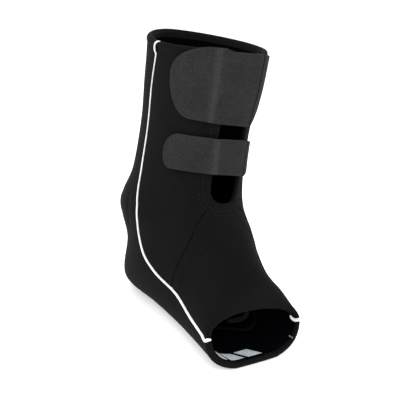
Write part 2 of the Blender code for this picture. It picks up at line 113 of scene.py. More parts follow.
@dataclass(frozen=True)
class Sleeve:
    """The skin that all the layers follow, in millimetres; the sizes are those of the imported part."""

    wall: float = 4.0
    rim_height: float = 190.0
    rim_rise: float = 7.5
    rim_front: float = 42.0
    rim_back: float = 44.5
    rim_half_width: float = 39.5
    rim_dip: float = 4.0
    shin_front: float = 36.7
    shin_half_width: float = 35.6
    calf_back: float = 53.5
    keyhole_height: float = 89.5
    ankle_half_width: float = 41.5
    corner_back: float = 66.0
    corner_height: float = 66.0
    heel_waist: float = 52.0
    heel_back: float = 51.5
    toe_reach: float = 94.0
    toe_setback: float = 9.0
    toe_height: float = 35.5
    toe_half_width: float = 39.0
    arch_half_width: float = 31.5
    squareness: float = 0.12
    sole_flat: float = 1.5
    slit_half: float = 12.8
    slit_rim_half: float = 10.6
    front_twist: float = 5.0
    keyhole_round: float = 15.0
    keyhole_squareness: float = 2.8
    seam_start: float = 3.92
    seam_end: float = 6.85
    seam_bend: float = 1.6
    lip_droop: float = 2.6
    piping_degrees: tuple[float, ...] = (87.5, 93.0, 95.5, 93.0, 83.0, 92.0, 80.0, 89.0, 96.0, 91.5)

    @property
    def middle(self) -> float:
        """Shift along y that centres the sleeve's box."""
        return (self.toe_reach - self.corner_back) / 2

    def stations(self) -> np.ndarray:
        """Rows of front y, front z, back y, back z, half width and widest share, from rim to toe.

        Returns:
            An array of ten rows, one for each station.
        """
        def up(share: float) -> float:
            return self.keyhole_height + share * (self.rim_height - self.keyhole_height)

        drop = self.keyhole_height - self.toe_height
        toe_top = self.toe_reach - self.toe_setback
        instep = toe_top - self.shin_front
        front, shin, ankle = self.rim_front, self.shin_front, self.ankle_half_width
        key, corner, arch = self.keyhole_height, self.corner_height, self.arch_half_width
        rim_half, heel, waist = self.rim_half_width, self.heel_back, self.heel_waist
        rim_back_top = self.rim_height + self.rim_rise
        rows = [
            (-front, self.rim_height, self.rim_back, rim_back_top, rim_half, 0.5),
            (-front + 1.2, up(0.77), self.rim_back + 0.5, up(0.78), rim_half - 1.5, 0.5),
            (-shin - 1.0, up(0.51), self.rim_back + 4.0, up(0.43), self.shin_half_width, 0.5),
            (-shin, up(0.24), self.calf_back, up(0.06), self.shin_half_width + 1.0, 0.5),
            (-shin, key, self.corner_back, corner, ankle, 0.46),
            (-shin - 0.29 * instep, key - 0.30 * drop, waist, corner * 0.6, ankle - 1.0, 0.46),
            (-shin - 0.58 * instep, key - 0.48 * drop, heel, corner * 0.06, ankle - 2.5, 0.47),
            (-shin - 0.80 * instep, key - 0.61 * drop, heel - 45.0, -self.sole_flat, arch, 0.45),
            (-shin - 0.94 * instep, key - 0.79 * drop, -0.52 * self.toe_reach, -self.sole_flat,
             (arch + self.toe_half_width) / 2, 0.40),
            (-toe_top, self.toe_height, -self.toe_reach, -self.sole_flat,
             self.toe_half_width, 0.36),
        ]
        return np.array(rows) + [self.middle, 0, self.middle, 0, 0, 0]

    @staticmethod
    def along(values: np.ndarray, u: np.ndarray) -> np.ndarray:
        """Catmull-Rom curve through one row of values for each station.

        Args:
            values: One row for each station.
            u: Stations to read at.

        Returns:
            The rows between them: half of (2b + (c-a)t + (2a-5b+4c-d)t^2 + (3b-a-3c+d)t^3).
        """
        first, last = [2 * values[0] - values[1]], [2 * values[-1] - values[-2]]
        points = np.concatenate([first, values, last])
        index = np.clip(np.floor(u).astype(int), 0, len(values) - 2)
        t = (u - index)[..., None]
        a, b, c, d = (points[index + k] for k in range(4))
        return 0.5 * (2 * b + (c - a) * t + (2 * a - 5 * b + 4 * c - d) * t**2
                      + (3 * b - a - 3 * c + d) * t**3)

    def loft(self, u: np.ndarray | float, v: np.ndarray | float) -> np.ndarray:
        """The round skin: an ellipse in each station's tilted plane, squarer behind its widest line.

        Args:
            u: Stations.
            v: Angles in radians.

        Returns:
            Points, with y and z a share of the way from the front line to the back line.
        """
        u, v = np.broadcast_arrays(np.asarray(u, float), np.asarray(v, float))
        rows = np.moveaxis(self.along(self.stations(), u), -1, 0)
        front_y, front_z, back_y, back_z, half, widest = rows
        fade = np.interp(u, [ANKLE + 1, ANKLE + 3], [1, 0])
        v = v + math.radians(self.front_twist) * fade * np.maximum(0, np.cos(v)) ** 2
        cos, sin = np.cos(v), np.sin(v)
        square = np.interp(u, [ANKLE + 1, ANKLE + 3], [0.0, self.squareness])
        behind = widest - (1 - widest) * cos * (1 + square * sin**2)
        share = np.where(cos > 0, widest * (1 - cos), behind)
        across = sin * np.where(cos > 0, 1, 1 + square * cos**2)
        dip = self.rim_dip * np.clip(1 - u, 0, 1) ** 2 * np.clip(-sin, 0, 1) ** 2
        near_lip = np.clip((u - ANKLE - 3.7) / 1.3, 0, 1) ** 2
        dip = dip + self.lip_droop * near_lip * np.clip(np.cos(v - 0.5), 0, 1) ** 2
        y = front_y + (back_y - front_y) * share
        return np.stack([half * across, y, front_z + (back_z - front_z) * share - dip], -1)

    def skin(self, u: np.ndarray | float, v: np.ndarray | float,
             depth: np.ndarray | float = 0.0) -> np.ndarray:
        """Points at a depth under the outer face, measured along the skin's normal.

        Args:
            u: Stations.
            v: Angles in radians.
            depth: Millimetres inwards.

        Returns:
            Points, with the sole pressed flat on the floor.
        """
        u, v, depth = np.broadcast_arrays(*(np.asarray(a, float) for a in (u, v, depth)))
        step = 0.01
        down = self.loft(u + step, v) - self.loft(u - step, v)
        turn = self.loft(u, v + step) - self.loft(u, v - step)
        outward = np.cross(down, turn)
        outward /= np.linalg.norm(outward, axis=-1, keepdims=True)
        face = self.loft(u, v)
        point = face - outward * depth[..., None]
        point[..., 2] += np.maximum(0.0, -face[..., 2])
        return point

    def turn(self, u: np.ndarray | float, v: np.ndarray | float,
             length: np.ndarray | float) -> np.ndarray:
        """The angle that spans a length round the sleeve: the length over the skin's speed in v."""
        step = 0.02
        speed = np.linalg.norm(self.loft(u, v + step) - self.loft(u, v - step), axis=-1)
        return length / (speed / (2 * step))

    def rise(self, u: np.ndarray | float, v: np.ndarray | float,
             length: np.ndarray | float) -> np.ndarray:
        """The step in u that spans a length down the sleeve: the length over the skin's speed in u."""
        step = 0.02
        speed = np.linalg.norm(self.loft(u + step, v) - self.loft(u - step, v), axis=-1)
        return length / (speed / (2 * step))

    def piping(self, u: np.ndarray | float) -> np.ndarray:
        """Angle of the right piping, a smooth curve through its degrees at the stations."""
        degrees = np.array(self.piping_degrees)[:, None]
        return np.radians(self.along(degrees, np.asarray(u, float))[..., 0])

    def slit(self, u: np.ndarray | float) -> np.ndarray:
        """Half the front opening's width: straight edges, then a squared half round at its foot."""
        u = np.asarray(u, float)
        half = self.slit_half + (self.slit_rim_half - self.slit_half) * np.clip(1 - u / SHIN, 0, 1)
        shin = self.along(self.stations(), u)[..., 1]
        level = self.keyhole_height + self.keyhole_round
        below = np.clip((level - shin) / self.keyhole_round, 0, 1)
        power = self.keyhole_squareness
        return half * np.clip(1 - below**power, 0, 1) ** (1 / power)

    def slit_angle(self, u: np.ndarray | float) -> np.ndarray:
        """Angle of the front opening's right edge."""
        return self.turn(u, 0.0, self.slit(u))

    def seam(self, u: np.ndarray | float) -> np.ndarray:
        """Angle of the right instep seam: a straight share from keyhole to piping plus a slow wave."""
        length = self.seam_end - self.seam_start
        share = np.clip((np.asarray(u, float) - self.seam_start) / length, 0, 1)
        start, end = self.slit_angle(self.seam_start), self.piping(self.seam_end)
        wave = self.seam_bend * share * (1 - share) * (0.4 - share)
        return start + (end - start) * (share + wave)

    def down(self, distance: float) -> float:
        """The station at a distance down the shin line from the rim."""
        u = np.linspace(RIM, TOE, 400)
        return float(np.interp(distance, run_along(self.loft(u, 0.0)), u))


SLEEVE = Sleeve()

# The crease behind each piping: its stations and its degrees round the sleeve.
CREASE_STATIONS = (3.4, 3.8, 4.1, 4.4, 4.7, 5.0)
CREASE_DEGREES = (95, 97, 98, 101, 107, 116)
# Folds round the ankle's sides: station, width in stations, depth and slant.
SIDE_FOLDS = ((4.15, 0.10, 0.30, 0.35), (4.45, 0.13, 0.26, -0.25), (5.2, 0.16, 0.22, 0.5))
# Folds behind the ankle: station, width in stations, depth, angle and width in radians.
BACK_FOLDS = ((4.35, 0.10, 0.5, 2.6, 0.5), (3.72, 0.12, 0.4, 2.5, 0.45))
CREASE_DEPTH = 0.75
LEFT_SHARE = 0.3  # how much of the crease and folds the left side has


def relief(u: np.ndarray, v: np.ndarray) -> np.ndarray:
    """Height of the panels' soft shape over the plain skin, in millimetres.

    A gentle swell of crossed sine waves, one long crease behind each piping, faint folds round the
    ankle, and a valley under each row of stitches: each is a bell curve of the distance to its line.

    Args:
        u: Stations.
        v: Angles in radians, within a half turn of the shin on either side.

    Returns:
        Millimetres outwards.
    """
    side = np.abs(half_turn(v))
    share = np.where(half_turn(v) < 0, 1.0, LEFT_SHARE)
    swell = 0.16 * np.sin(2.1 * u + 3 * np.cos(v)) * np.sin(3.0 * side + 1.3 * u)
    swell += 0.10 * np.sin(4.3 * u + 5 * np.sin(v) + 1.0)
    crease_at = np.radians(np.interp(u, CREASE_STATIONS, CREASE_DEGREES))
    crease = bell(side, crease_at, 0.045) * bell(u, 4.25, 0.55)
    folds = np.zeros_like(u)
    for place, width, size, slant in SIDE_FOLDS:
        folds += size * bell(u + slant * (side - 1.1), place, width) * bell(side, 1.15, 0.45)
    back = sum(size * bell(u, place, width) * bell(side, angle, wide)
               for place, width, size, angle, wide in BACK_FOLDS)
    return swell - CREASE_DEPTH * crease * share - folds * (0.5 + 0.5 * share) - back


# ---------------------------------------------------------------------------------------------------
# Meshes


def add_object(name: str, points: np.ndarray, faces: np.ndarray,
               sharp: float = 60.0) -> bpy.types.Object:
    """A new object from points in millimetres.

    Args:
        name: The piece's name.
        points: Rows of x, y, z.
        faces: Rows of corner numbers, facing outwards.
        sharp: Degrees between faces past which an edge is shaded hard.

    Returns:
        The object, at the origin.
    """
    mesh = bpy.data.meshes.new(name)
    mesh.from_pydata(np.asarray(points, float) * MM, [], faces)
    mesh.shade_smooth()
    mesh.set_sharp_from_angle(angle=math.radians(sharp))
    made = bpy.data.objects.new(name, mesh)
    bpy.context.scene.collection.objects.link(made)
    return made


def put_uv(piece: bpy.types.Object, uv: np.ndarray) -> None:
    """Gives each corner its point's pair of surface lengths, in metres.

    Args:
        piece: The mesh object.
        uv: One pair for each point, in millimetres.
    """
    mesh = piece.data
    corner = np.empty(len(mesh.loops), np.int32)
    mesh.loops.foreach_get("vertex_index", corner)
    layer = mesh.uv_layers.new(name="surface")
    layer.data.foreach_set("uv", (uv[corner] * MM).astype(np.float32).ravel())


def put_factor(piece: bpy.types.Object, name: str, values: np.ndarray) -> None:
    """Stores one number for each point, for a finish to read.

    Args:
        piece: The mesh object.
        name: The attribute's name.
        values: One number for each point.
    """
    layer = piece.data.attributes.new(name, "FLOAT", "POINT")
    layer.data.foreach_set("value", np.asarray(values, np.float32))


def grid_quads(rows: int, columns: int, first: int = 0, flip: bool = False) -> np.ndarray:
    """Corner numbers of a grid's faces.

    Args:
        rows: Points down the grid.
        columns: Points across it.
        first: Number of its first point.
        flip: Turns the faces over.

    Returns:
        One row of four corners for each face.
    """
    index = first + np.arange(rows * columns).reshape(rows, columns)
    a, b, c, d = index[:-1, :-1], index[1:, :-1], index[1:, 1:], index[:-1, 1:]
    quads = np.stack([a, b, c, d], -1).reshape(-1, 4)
    return quads[:, ::-1] if flip else quads


def slab_faces(rows: int, columns: int) -> np.ndarray:
    """Faces of a closed slab whose outer and inner sides are two grids of points, outer first.

    Args:
        rows: Points down each grid.
        columns: Points across each grid.

    Returns:
        One row of four corners for each face.
    """
    size = rows * columns
    outer = np.arange(size).reshape(rows, columns)
    inner = outer + size
    loop = np.concatenate([outer[:-1, 0], outer[-1, :-1], outer[:0:-1, -1], outer[0, :0:-1]])
    under = loop + size
    rim = np.stack([loop, under, np.roll(under, -1), np.roll(loop, -1)], -1)
    return np.concatenate([grid_quads(rows, columns), grid_quads(rows, columns, size, True), rim])


def shoulder(distance: np.ndarray, radius: float) -> np.ndarray:
    """Depth of a quarter round at a distance from an edge: r - sqrt(r^2 - (r - d)^2)."""
    if radius <= 0:
        return np.zeros_like(distance)
    left = np.clip(radius - distance, 0, radius)
    return radius - np.sqrt(np.clip(radius**2 - left**2, 0, None))


def spread(length: float, step: float, near: Sequence[float]) -> tuple[np.ndarray, np.ndarray]:
    """Places along a line, close together at both ends.

    Args:
        length: Typical length in millimetres.
        step: Spacing in the middle.
        near: Distances from each end at which there is a place, from 0 up.

    Returns:
        For each place its fixed distance from the nearer end, or 0, and its share of the rest.
    """
    near = np.asarray(near, float)
    count = max(3, int(round((length - 2 * near[-1]) / step)))
    middle = np.linspace(0, 1, count + 1)[1:-1]
    fixed = np.concatenate([near, np.full(len(middle), near[-1]), -near[::-1]])
    fixed[len(near):len(near) + len(middle)] = near[-1] * (1 - 2 * middle)
    share = np.concatenate([np.zeros(len(near)), middle, np.ones(len(near))])
    return fixed, share


# Distances from an edge at which a grid has rows: a thick panel's, a thin tape's and a strap's.
NEAR_ROUND = (0.0, 0.12, 0.4, 0.85, 1.4, 2.0, 2.9, 4.0)
NEAR_TAPE = (0.0, 0.15, 0.5, 1.0)
NEAR_STRAP = (0.0, 0.1, 0.3, 0.6, 1.1, 2.0)
DEEPEST_ROUND = 0.48  # of the thickness, for the rounding of an edge
RELIEF_FADE = 3.0  # millimetres from a lip over which the relief dies out
INNER_SHARE = 0.6  # of the relief that the inner face has


@dataclass
class Patch:
    """A piece of the sleeve between two angle lines, as a grid with close rows along its edges."""

    front: Callable[[np.ndarray], np.ndarray]
    back: Callable[[np.ndarray], np.ndarray]
    start: Callable[[np.ndarray], np.ndarray] | float = RIM
    end: float = TOE
    step: float = 1.6
    near: Sequence[float] = NEAR_ROUND

    def grid(self) -> tuple[np.ndarray, np.ndarray, dict[str, np.ndarray]]:
        """Stations, angles and the distance to each edge, all as arrays of rows and columns.

        Returns:
            u, v and the distances named front, back, top and bottom.
        """
        first = float(self.start(np.array(0.0))) if callable(self.start) else float(self.start)
        fine = np.linspace(first, self.end, 60)
        mid = (self.front(fine) + self.back(fine)) / 2
        tall = float(run_along(SLEEVE.loft(fine, mid))[-1])
        fixed, share = spread(tall, self.step, self.near)
        rows = (fixed / tall + share)[:, None]
        u = first + (self.end - first) * self._even(fine, mid, rows)
        low, high = self.front(u), self.back(u)
        t = np.linspace(0, 1, 41)
        run = run_along(SLEEVE.loft(u, low + (high - low) * t), 1)
        length = run[:, -1:]
        fixed, share = spread(float(length.max()), self.step, self.near)
        squeeze = np.minimum(1, length / (3 * self.near[-1]))
        want = fixed[None, :] * squeeze + share[None, :] * length
        across = np.stack([np.interp(w, r, t) for w, r in zip(want, run, strict=True)])
        if callable(self.start):
            top = self.start(across)
            u = top + (self.end - top) * (u - first) / (self.end - first)
            low, high = self.front(u), self.back(u)
        v = low + (high - low) * across
        u, v = np.broadcast_arrays(u, v)
        points = SLEEVE.loft(u, v)
        down, over = run_along(points, 0), run_along(points, 1)
        gaps = {"front": over, "back": over[:, -1:] - over, "top": down, "bottom": down[-1:] - down}
        return u, v, gaps

    @staticmethod
    def _even(fine: np.ndarray, mid: np.ndarray, rows: np.ndarray) -> np.ndarray:
        """Turns shares of the length down a line into shares of its stations."""
        run = run_along(SLEEVE.loft(fine, mid))
        return (np.interp(rows * run[-1], run, fine) - fine[0]) / (fine[-1] - fine[0])


def foam_slab(name: str, patch: Patch, rounds: dict[str, float], top: float = 0.0,
              thick: float = 4.0, soft: bool = True,
              extra: Callable[..., np.ndarray] | None = None) -> bpy.types.Object:
    """A soft sheet with rounded edges on the sleeve.

    Args:
        name: The piece's name.
        patch: Where it lies.
        rounds: Radius of each edge that is rounded, by the edge's name.
        top: Depth of its outer face.
        thick: Its thickness.
        soft: Whether it takes the panels' relief.
        extra: A further height over the skin, from station, angle and the distances to the edges.

    Returns:
        A closed mesh, with its surface lengths as UV map.
    """
    u, v, gaps = patch.grid()
    depth = sum((shoulder(gaps[edge], radius) for edge, radius in rounds.items()), np.zeros_like(u))
    depth = np.minimum(depth, thick * DEEPEST_ROUND)
    lift = relief(u, v) if soft else np.zeros_like(u)
    if extra is not None:
        lift = lift + extra(u, v, gaps)
    outer, inner = top + depth, top + thick - depth
    if soft:
        lift = lift * np.clip(np.minimum(gaps["top"], gaps["bottom"]) / RELIEF_FADE, 0, 1)
        inner = inner - lift * INNER_SHARE - pinch(u, opening_gap(u, half_turn(v)))
    outer = outer - lift
    points = np.concatenate([SLEEVE.skin(u, v, outer).reshape(-1, 3),
                             SLEEVE.skin(u, v, inner).reshape(-1, 3)])
    made = add_object(name, points, slab_faces(*u.shape))
    pair = np.stack([gaps["front"], gaps["top"]], -1).reshape(-1, 2)
    put_uv(made, np.concatenate([pair, pair]))
    return made


def sweep(name: str, path: np.ndarray, radius: np.ndarray | float,
          sides: int = 12) -> bpy.types.Object:
    """A round cord with closed, rounded ends along a path.

    A ring of points stands at each step of the path, in a frame that is carried along without
    twisting; the ends shrink along a quarter round to one last point.

    Args:
        name: The piece's name.
        path: Points in millimetres.
        radius: The cord's radius, or one for each point.
        sides: Points in a ring.

    Returns:
        A closed mesh.
    """
    path = np.asarray(path, float)
    radius = np.broadcast_to(np.asarray(radius, float), (len(path),))
    tangent = np.gradient(path, axis=0)
    tangent /= np.linalg.norm(tangent, axis=1, keepdims=True)
    cap = np.linspace(0.15, 1, 4)
    before = path[0] - tangent[0] * radius[0] * np.cos(cap * math.pi / 2)[:, None]
    after = path[-1] + tangent[-1] * radius[-1] * np.cos(cap[::-1] * math.pi / 2)[:, None]
    path = np.concatenate([before[:-1], path, after[1:]])
    size = np.sin(cap * math.pi / 2)
    radius = np.concatenate([radius[0] * size[:-1], radius, radius[-1] * size[::-1][1:]])
    tangent = np.concatenate([np.repeat(tangent[:1], 3, 0), tangent, np.repeat(tangent[-1:], 3, 0)])
    side = np.empty_like(path)
    first = np.cross(tangent[0], [0.3, 0.5, 0.8])
    side[0] = first / np.linalg.norm(first)
    for i in range(1, len(path)):
        carried = side[i - 1] - tangent[i] * (side[i - 1] @ tangent[i])
        side[i] = carried / np.linalg.norm(carried)
    over = np.cross(tangent, side)
    angle = np.linspace(0, 2 * math.pi, sides, endpoint=False)
    cos, sin = np.cos(angle)[None, :, None], np.sin(angle)[None, :, None]
    ring = side[:, None] * cos + over[:, None] * sin
    points = (path[:, None] + ring * radius[:, None, None]).reshape(-1, 3)
    count = len(path)
    index = np.arange(count * sides).reshape(count, sides)
    around = np.roll(index, -1, axis=1)
    quads = np.stack([index[:-1], around[:-1], around[1:], index[1:]], -1).reshape(-1, 4).tolist()
    faces = [*quads, index[0, ::-1].tolist(), index[-1].tolist()]
    made = add_object(name, points, faces)
    pair = np.stack(np.broadcast_arrays(run_along(path)[:, None], radius[:, None] * angle), -1)
    put_uv(made, pair.reshape(-1, 2))
    return made


@dataclass(frozen=True)
class Stitches:
    """A row of sewing thread: short rounded stitches, each dipping into the cloth at both ends."""

    length: float = 2.3
    gap: float = 0.75
    radius: float = 0.3
    sides: int = 6
    bury: float = 0.35

    def row(self, name: str, path: np.ndarray, outward: np.ndarray,
            zigzag: float = 0.0) -> bpy.types.Object:
        """Stitches along a path, all in one mesh.

        Each stitch is a bent cord of five rings: its height over the path is an arch, the sine of
        its own length, less the depth it is buried at the ends.

        Args:
            name: The piece's name.
            path: Points on the cloth in millimetres.
            outward: The cloth's normal at each of them.
            zigzag: How far the stitches swing to either side.

        Returns:
            The row as one object.
        """
        run = run_along(path)
        pitch = self.length + self.gap
        count = max(1, int((run[-1] - self.length) // pitch) + 1)
        start = (run[-1] - (count - 1) * pitch - self.length) / 2 + pitch * np.arange(count)
        t = np.linspace(0, 1, 5)
        place = start[:, None] + self.length * t
        at = np.stack([np.interp(place, run, path[:, k]) for k in range(3)], -1)
        normal = np.stack([np.interp(place, run, outward[:, k]) for k in range(3)], -1)
        normal /= np.linalg.norm(normal, axis=-1, keepdims=True)
        tangent = np.gradient(at, axis=1)
        tangent /= np.linalg.norm(tangent, axis=-1, keepdims=True)
        across = np.cross(tangent, normal)
        arch = np.sin(t * math.pi) * (self.bury + 0.25 * self.radius) - self.bury
        swing = zigzag * (2 * t - 1) * np.where(np.arange(count) % 2, -1, 1)[:, None]
        at = at + normal * arch[None, :, None] + across * swing[..., None]
        size = self.radius * np.array([0.35, 0.9, 1.0, 0.9, 0.35])
        angle = np.linspace(0, 2 * math.pi, self.sides, endpoint=False)
        cos, sin = np.cos(angle)[:, None], np.sin(angle)[:, None]
        ring = across[:, :, None] * cos + normal[:, :, None] * sin
        points = at[:, :, None] + ring * size[None, :, None, None]
        index = np.arange(points[..., 0].size).reshape(count, 5, self.sides)
        around = np.roll(index, -1, axis=2)
        corners = [index[:, :-1], index[:, 1:], around[:, 1:], around[:, :-1]]
        quads = np.stack(corners, -1).reshape(-1, 4)
        caps = [*index[:, 0].tolist(), *index[:, -1, ::-1].tolist()]
        made = add_object(name, points.reshape(-1, 3), [*quads.tolist(), *caps])
        lengths = np.broadcast_to(place[:, :, None], index.shape)
        pair = np.stack([lengths, np.broadcast_to(angle * self.radius, index.shape)], -1)
        put_uv(made, pair.reshape(-1, 2))
        return made


def on_skin(u: np.ndarray, v: np.ndarray, depth: np.ndarray | float = 0.0,
            soft: bool = True) -> tuple[np.ndarray, np.ndarray]:
    """A line on the panels' outer face and the face's normal along it.

    Args:
        u: Stations.
        v: Angles.
        depth: Millimetres under the face.
        soft: Whether it follows the relief.

    Returns:
        Points and unit normals.
    """
    u, v = np.broadcast_arrays(np.asarray(u, float), np.asarray(v, float))
    height = relief(u, v) if soft else 0.0
    point = SLEEVE.skin(u, v, depth - height)
    normal = SLEEVE.skin(u, v, -1.0) - SLEEVE.skin(u, v, 0.0)
    return point, normal / np.linalg.norm(normal, axis=-1, keepdims=True)


# ---------------------------------------------------------------------------------------------------
# Finishes


class Graph:
    """A material's node tree, with short ways to add and join nodes."""

    def __init__(self, name: str) -> None:
        """Starts a material with one shader."""
        self.material = bpy.data.materials.new(name)
        self.material.use_nodes = True
        self.tree = self.material.node_tree
        self.shader = self.tree.nodes["Principled BSDF"]

    def node(self, kind: str, links: dict[str | int, bpy.types.NodeSocket] | None = None,
             values: dict[str | int, object] | None = None, **settings: object) -> bpy.types.Node:
        """Adds a node.

        Args:
            kind: The node's type without its ShaderNode prefix.
            links: Outputs of other nodes for its inputs.
            values: Constants for its inputs.
            settings: Its properties.

        Returns:
            The node.
        """
        made = self.tree.nodes.new(f"ShaderNode{kind}")
        for key, value in settings.items():
            setattr(made, key, value)
        for key, value in (values or {}).items():
            made.inputs[key].default_value = value
        for key, socket in (links or {}).items():
            self.tree.links.new(socket, made.inputs[key])
        return made

    def math(self, operation: str, a: object, b: object = 0.0) -> bpy.types.NodeSocket:
        """The result of a sum on two sockets or numbers."""
        made = self.node("Math", operation=operation)
        for index, item in enumerate((a, b)):
            if isinstance(item, bpy.types.NodeSocket):
                self.tree.links.new(item, made.inputs[index])
            else:
                made.inputs[index].default_value = item
        return made.outputs[0]

    def weighed(self, a: bpy.types.NodeSocket, share_a: float, b: bpy.types.NodeSocket,
                share_b: float) -> bpy.types.NodeSocket:
        """The sum of two patterns, each times its share."""
        part = self.math("MULTIPLY", a, share_a)
        return self.math("ADD", part, self.math("MULTIPLY", b, share_b))

    def uneven(self, pattern: bpy.types.NodeSocket, swing: float, base: float) -> None:
        """Makes the roughness a base plus a swing times the pattern."""
        self.join(self.math("ADD", self.math("MULTIPLY", pattern, swing), base), "Roughness")

    def ramp(self, factor: bpy.types.NodeSocket, low: float, high: float,
             colours: tuple[tuple[float, ...], tuple[float, ...]]) -> bpy.types.NodeSocket:
        """A colour between two, as the factor goes from low to high."""
        made = self.node("ValToRGB", {"Fac": factor})
        made.color_ramp.interpolation = "EASE"
        stops = zip(made.color_ramp.elements, (low, high), colours, strict=True)
        for element, place, colour in stops:
            element.position = place
            element.color = (*colour, 1)
        return made.outputs["Color"]

    def noise(self, vector: bpy.types.NodeSocket, scale: float, detail: float = 2.0,
              rough: float = 0.5) -> bpy.types.NodeSocket:
        """Fractal noise at a scale in cells for each metre."""
        values = {"Scale": scale, "Detail": detail, "Roughness": rough}
        return self.node("TexNoise", {"Vector": vector}, values).outputs["Fac"]

    def wave(self, vector: bpy.types.NodeSocket, period: float, axis: str,
             bend: float = 0.0) -> bpy.types.NodeSocket:
        """A sine wave with a period in metres along an axis of the vector."""
        values = {"Scale": 2 * math.pi / (20 * period), "Distortion": bend, "Detail": 1.0,
                  "Detail Scale": 1.5}
        return self.node("TexWave", {"Vector": vector}, values, bands_direction=axis).outputs["Fac"]

    def bump(self, height: bpy.types.NodeSocket, depth: float, strength: float = 1.0,
             under: bpy.types.NodeSocket | None = None) -> bpy.types.NodeSocket:
        """A bumped normal, with the height's depth in metres."""
        links = {"Height": height}
        if under is not None:
            links["Normal"] = under
        return self.node("Bump", links, {"Strength": strength, "Distance": depth}).outputs["Normal"]

    def factor(self, name: str) -> bpy.types.NodeSocket:
        """A number stored on the piece's points."""
        return self.node("Attribute", attribute_type="GEOMETRY", attribute_name=name).outputs["Fac"]

    def join(self, socket: bpy.types.NodeSocket, name: str) -> None:
        """Feeds a shader input."""
        self.tree.links.new(socket, self.shader.inputs[name])

    def mix(self, factor: object, a: object, b: object, blend: str = "MIX") -> bpy.types.NodeSocket:
        """A mix of two colours, each a socket or a constant."""
        made = self.node("Mix", data_type="RGBA", blend_type=blend)
        for key, item in ((0, factor), (6, a), (7, b)):
            if isinstance(item, bpy.types.NodeSocket):
                self.tree.links.new(item, made.inputs[key])
            else:
                made.inputs[key].default_value = item if key == 0 else (*item, 1)
        return made.outputs[2]


@dataclass(frozen=True)
class Finish:
    """What all the finishes share: a name, the record's slot and the shader's constants."""

    name: str
    slot: str
    colour: tuple[float, float, float]
    roughness: float = 0.85
    specular: float = 0.1
    sheen: float = 0.0
    sheen_roughness: float = 0.4

    def start(self) -> Graph:
        """A graph with the constants set on the shader's own sockets."""
        graph = Graph(self.name)
        graph.shader.inputs["Base Color"].default_value = (*self.colour, 1)
        graph.shader.inputs["Roughness"].default_value = self.roughness
        graph.shader.inputs["Specular IOR Level"].default_value = self.specular
        graph.shader.inputs["Sheen Weight"].default_value = self.sheen
        graph.shader.inputs["Sheen Roughness"].default_value = self.sheen_roughness
        return graph

    def tone(self, factor: float) -> tuple[float, float, float]:
        """The base colour made lighter or darker."""
        return tuple(min(1.0, c * factor) for c in self.colour)

    def make(self) -> bpy.types.Material:
        """The material, made once for each finish."""
        return bpy.data.materials.get(self.name) or self.dress(self.start()).material

    def dress(self, graph: Graph) -> Graph:
        """Adds the pattern; each finish has its own."""
        raise NotImplementedError


@dataclass(frozen=True)
class Knit(Finish):
    """Fine jersey over foam: rows of loops, slow mottling, a soft fuzz and a few specks of lint."""

    wale: float = 0.00062
    course: float = 0.00048
    relief: float = 0.00006
    lint: float = 0.0

    def dress(self, graph: Graph) -> Graph:
        """Columns and rows of loops cross as two waves; noise breaks them up and shades them."""
        cloth = graph.node("UVMap", uv_map="surface").outputs["UV"]
        place = graph.node("TexCoord").outputs["Object"]
        wales = graph.wave(cloth, self.wale, "X", 0.8)
        courses = graph.wave(cloth, self.course, "Y", 1.2)
        rows = graph.math("ADD", graph.math("MULTIPLY", courses, 0.6), 0.4)
        loops = graph.math("MULTIPLY", wales, rows)
        fuzz = graph.noise(place, 2600.0, 4.0, 0.65)
        broad = graph.noise(place, 42.0, 3.0, 0.55)
        grain = graph.noise(place, 700.0, 3.0, 0.6)
        height = graph.math("ADD", loops, graph.math("MULTIPLY", fuzz, 1.2))
        shade = graph.weighed(broad, 0.55, grain, 0.45)
        colour = graph.ramp(shade, 0.32, 0.68, (self.tone(0.80), self.tone(1.22)))
        colour = graph.mix(graph.math("MULTIPLY", loops, 0.35), colour, self.tone(1.6))
        if self.lint > 0:
            colour = graph.mix(self._lint(graph, place), colour, (0.11, 0.11, 0.105))
        graph.join(colour, "Base Color")
        graph.uneven(broad, 0.14, self.roughness - 0.07)
        soft = graph.bump(graph.noise(place, 160.0, 2.0, 0.5), 0.00022, 0.5)
        graph.join(graph.bump(height, self.relief, 0.9, soft), "Normal")
        return graph

    def _lint(self, graph: Graph, place: bpy.types.NodeSocket) -> bpy.types.NodeSocket:
        """Specks where a cell's centre is near and its random number is high."""
        cells = graph.node("TexVoronoi", {"Vector": place}, {"Scale": 190.0, "Randomness": 1.0})
        near = graph.math("LESS_THAN", cells.outputs["Distance"], 0.075)
        red = graph.node("SeparateColor", {"Color": cells.outputs["Color"]}).outputs[0]
        few = graph.math("GREATER_THAN", red, 1.0 - self.lint)
        ragged = graph.math("GREATER_THAN", graph.noise(place, 3200.0, 2.0), 0.46)
        specks = graph.math("MULTIPLY", near, few)
        return graph.math("MULTIPLY", specks, graph.math("MULTIPLY", ragged, 0.7))


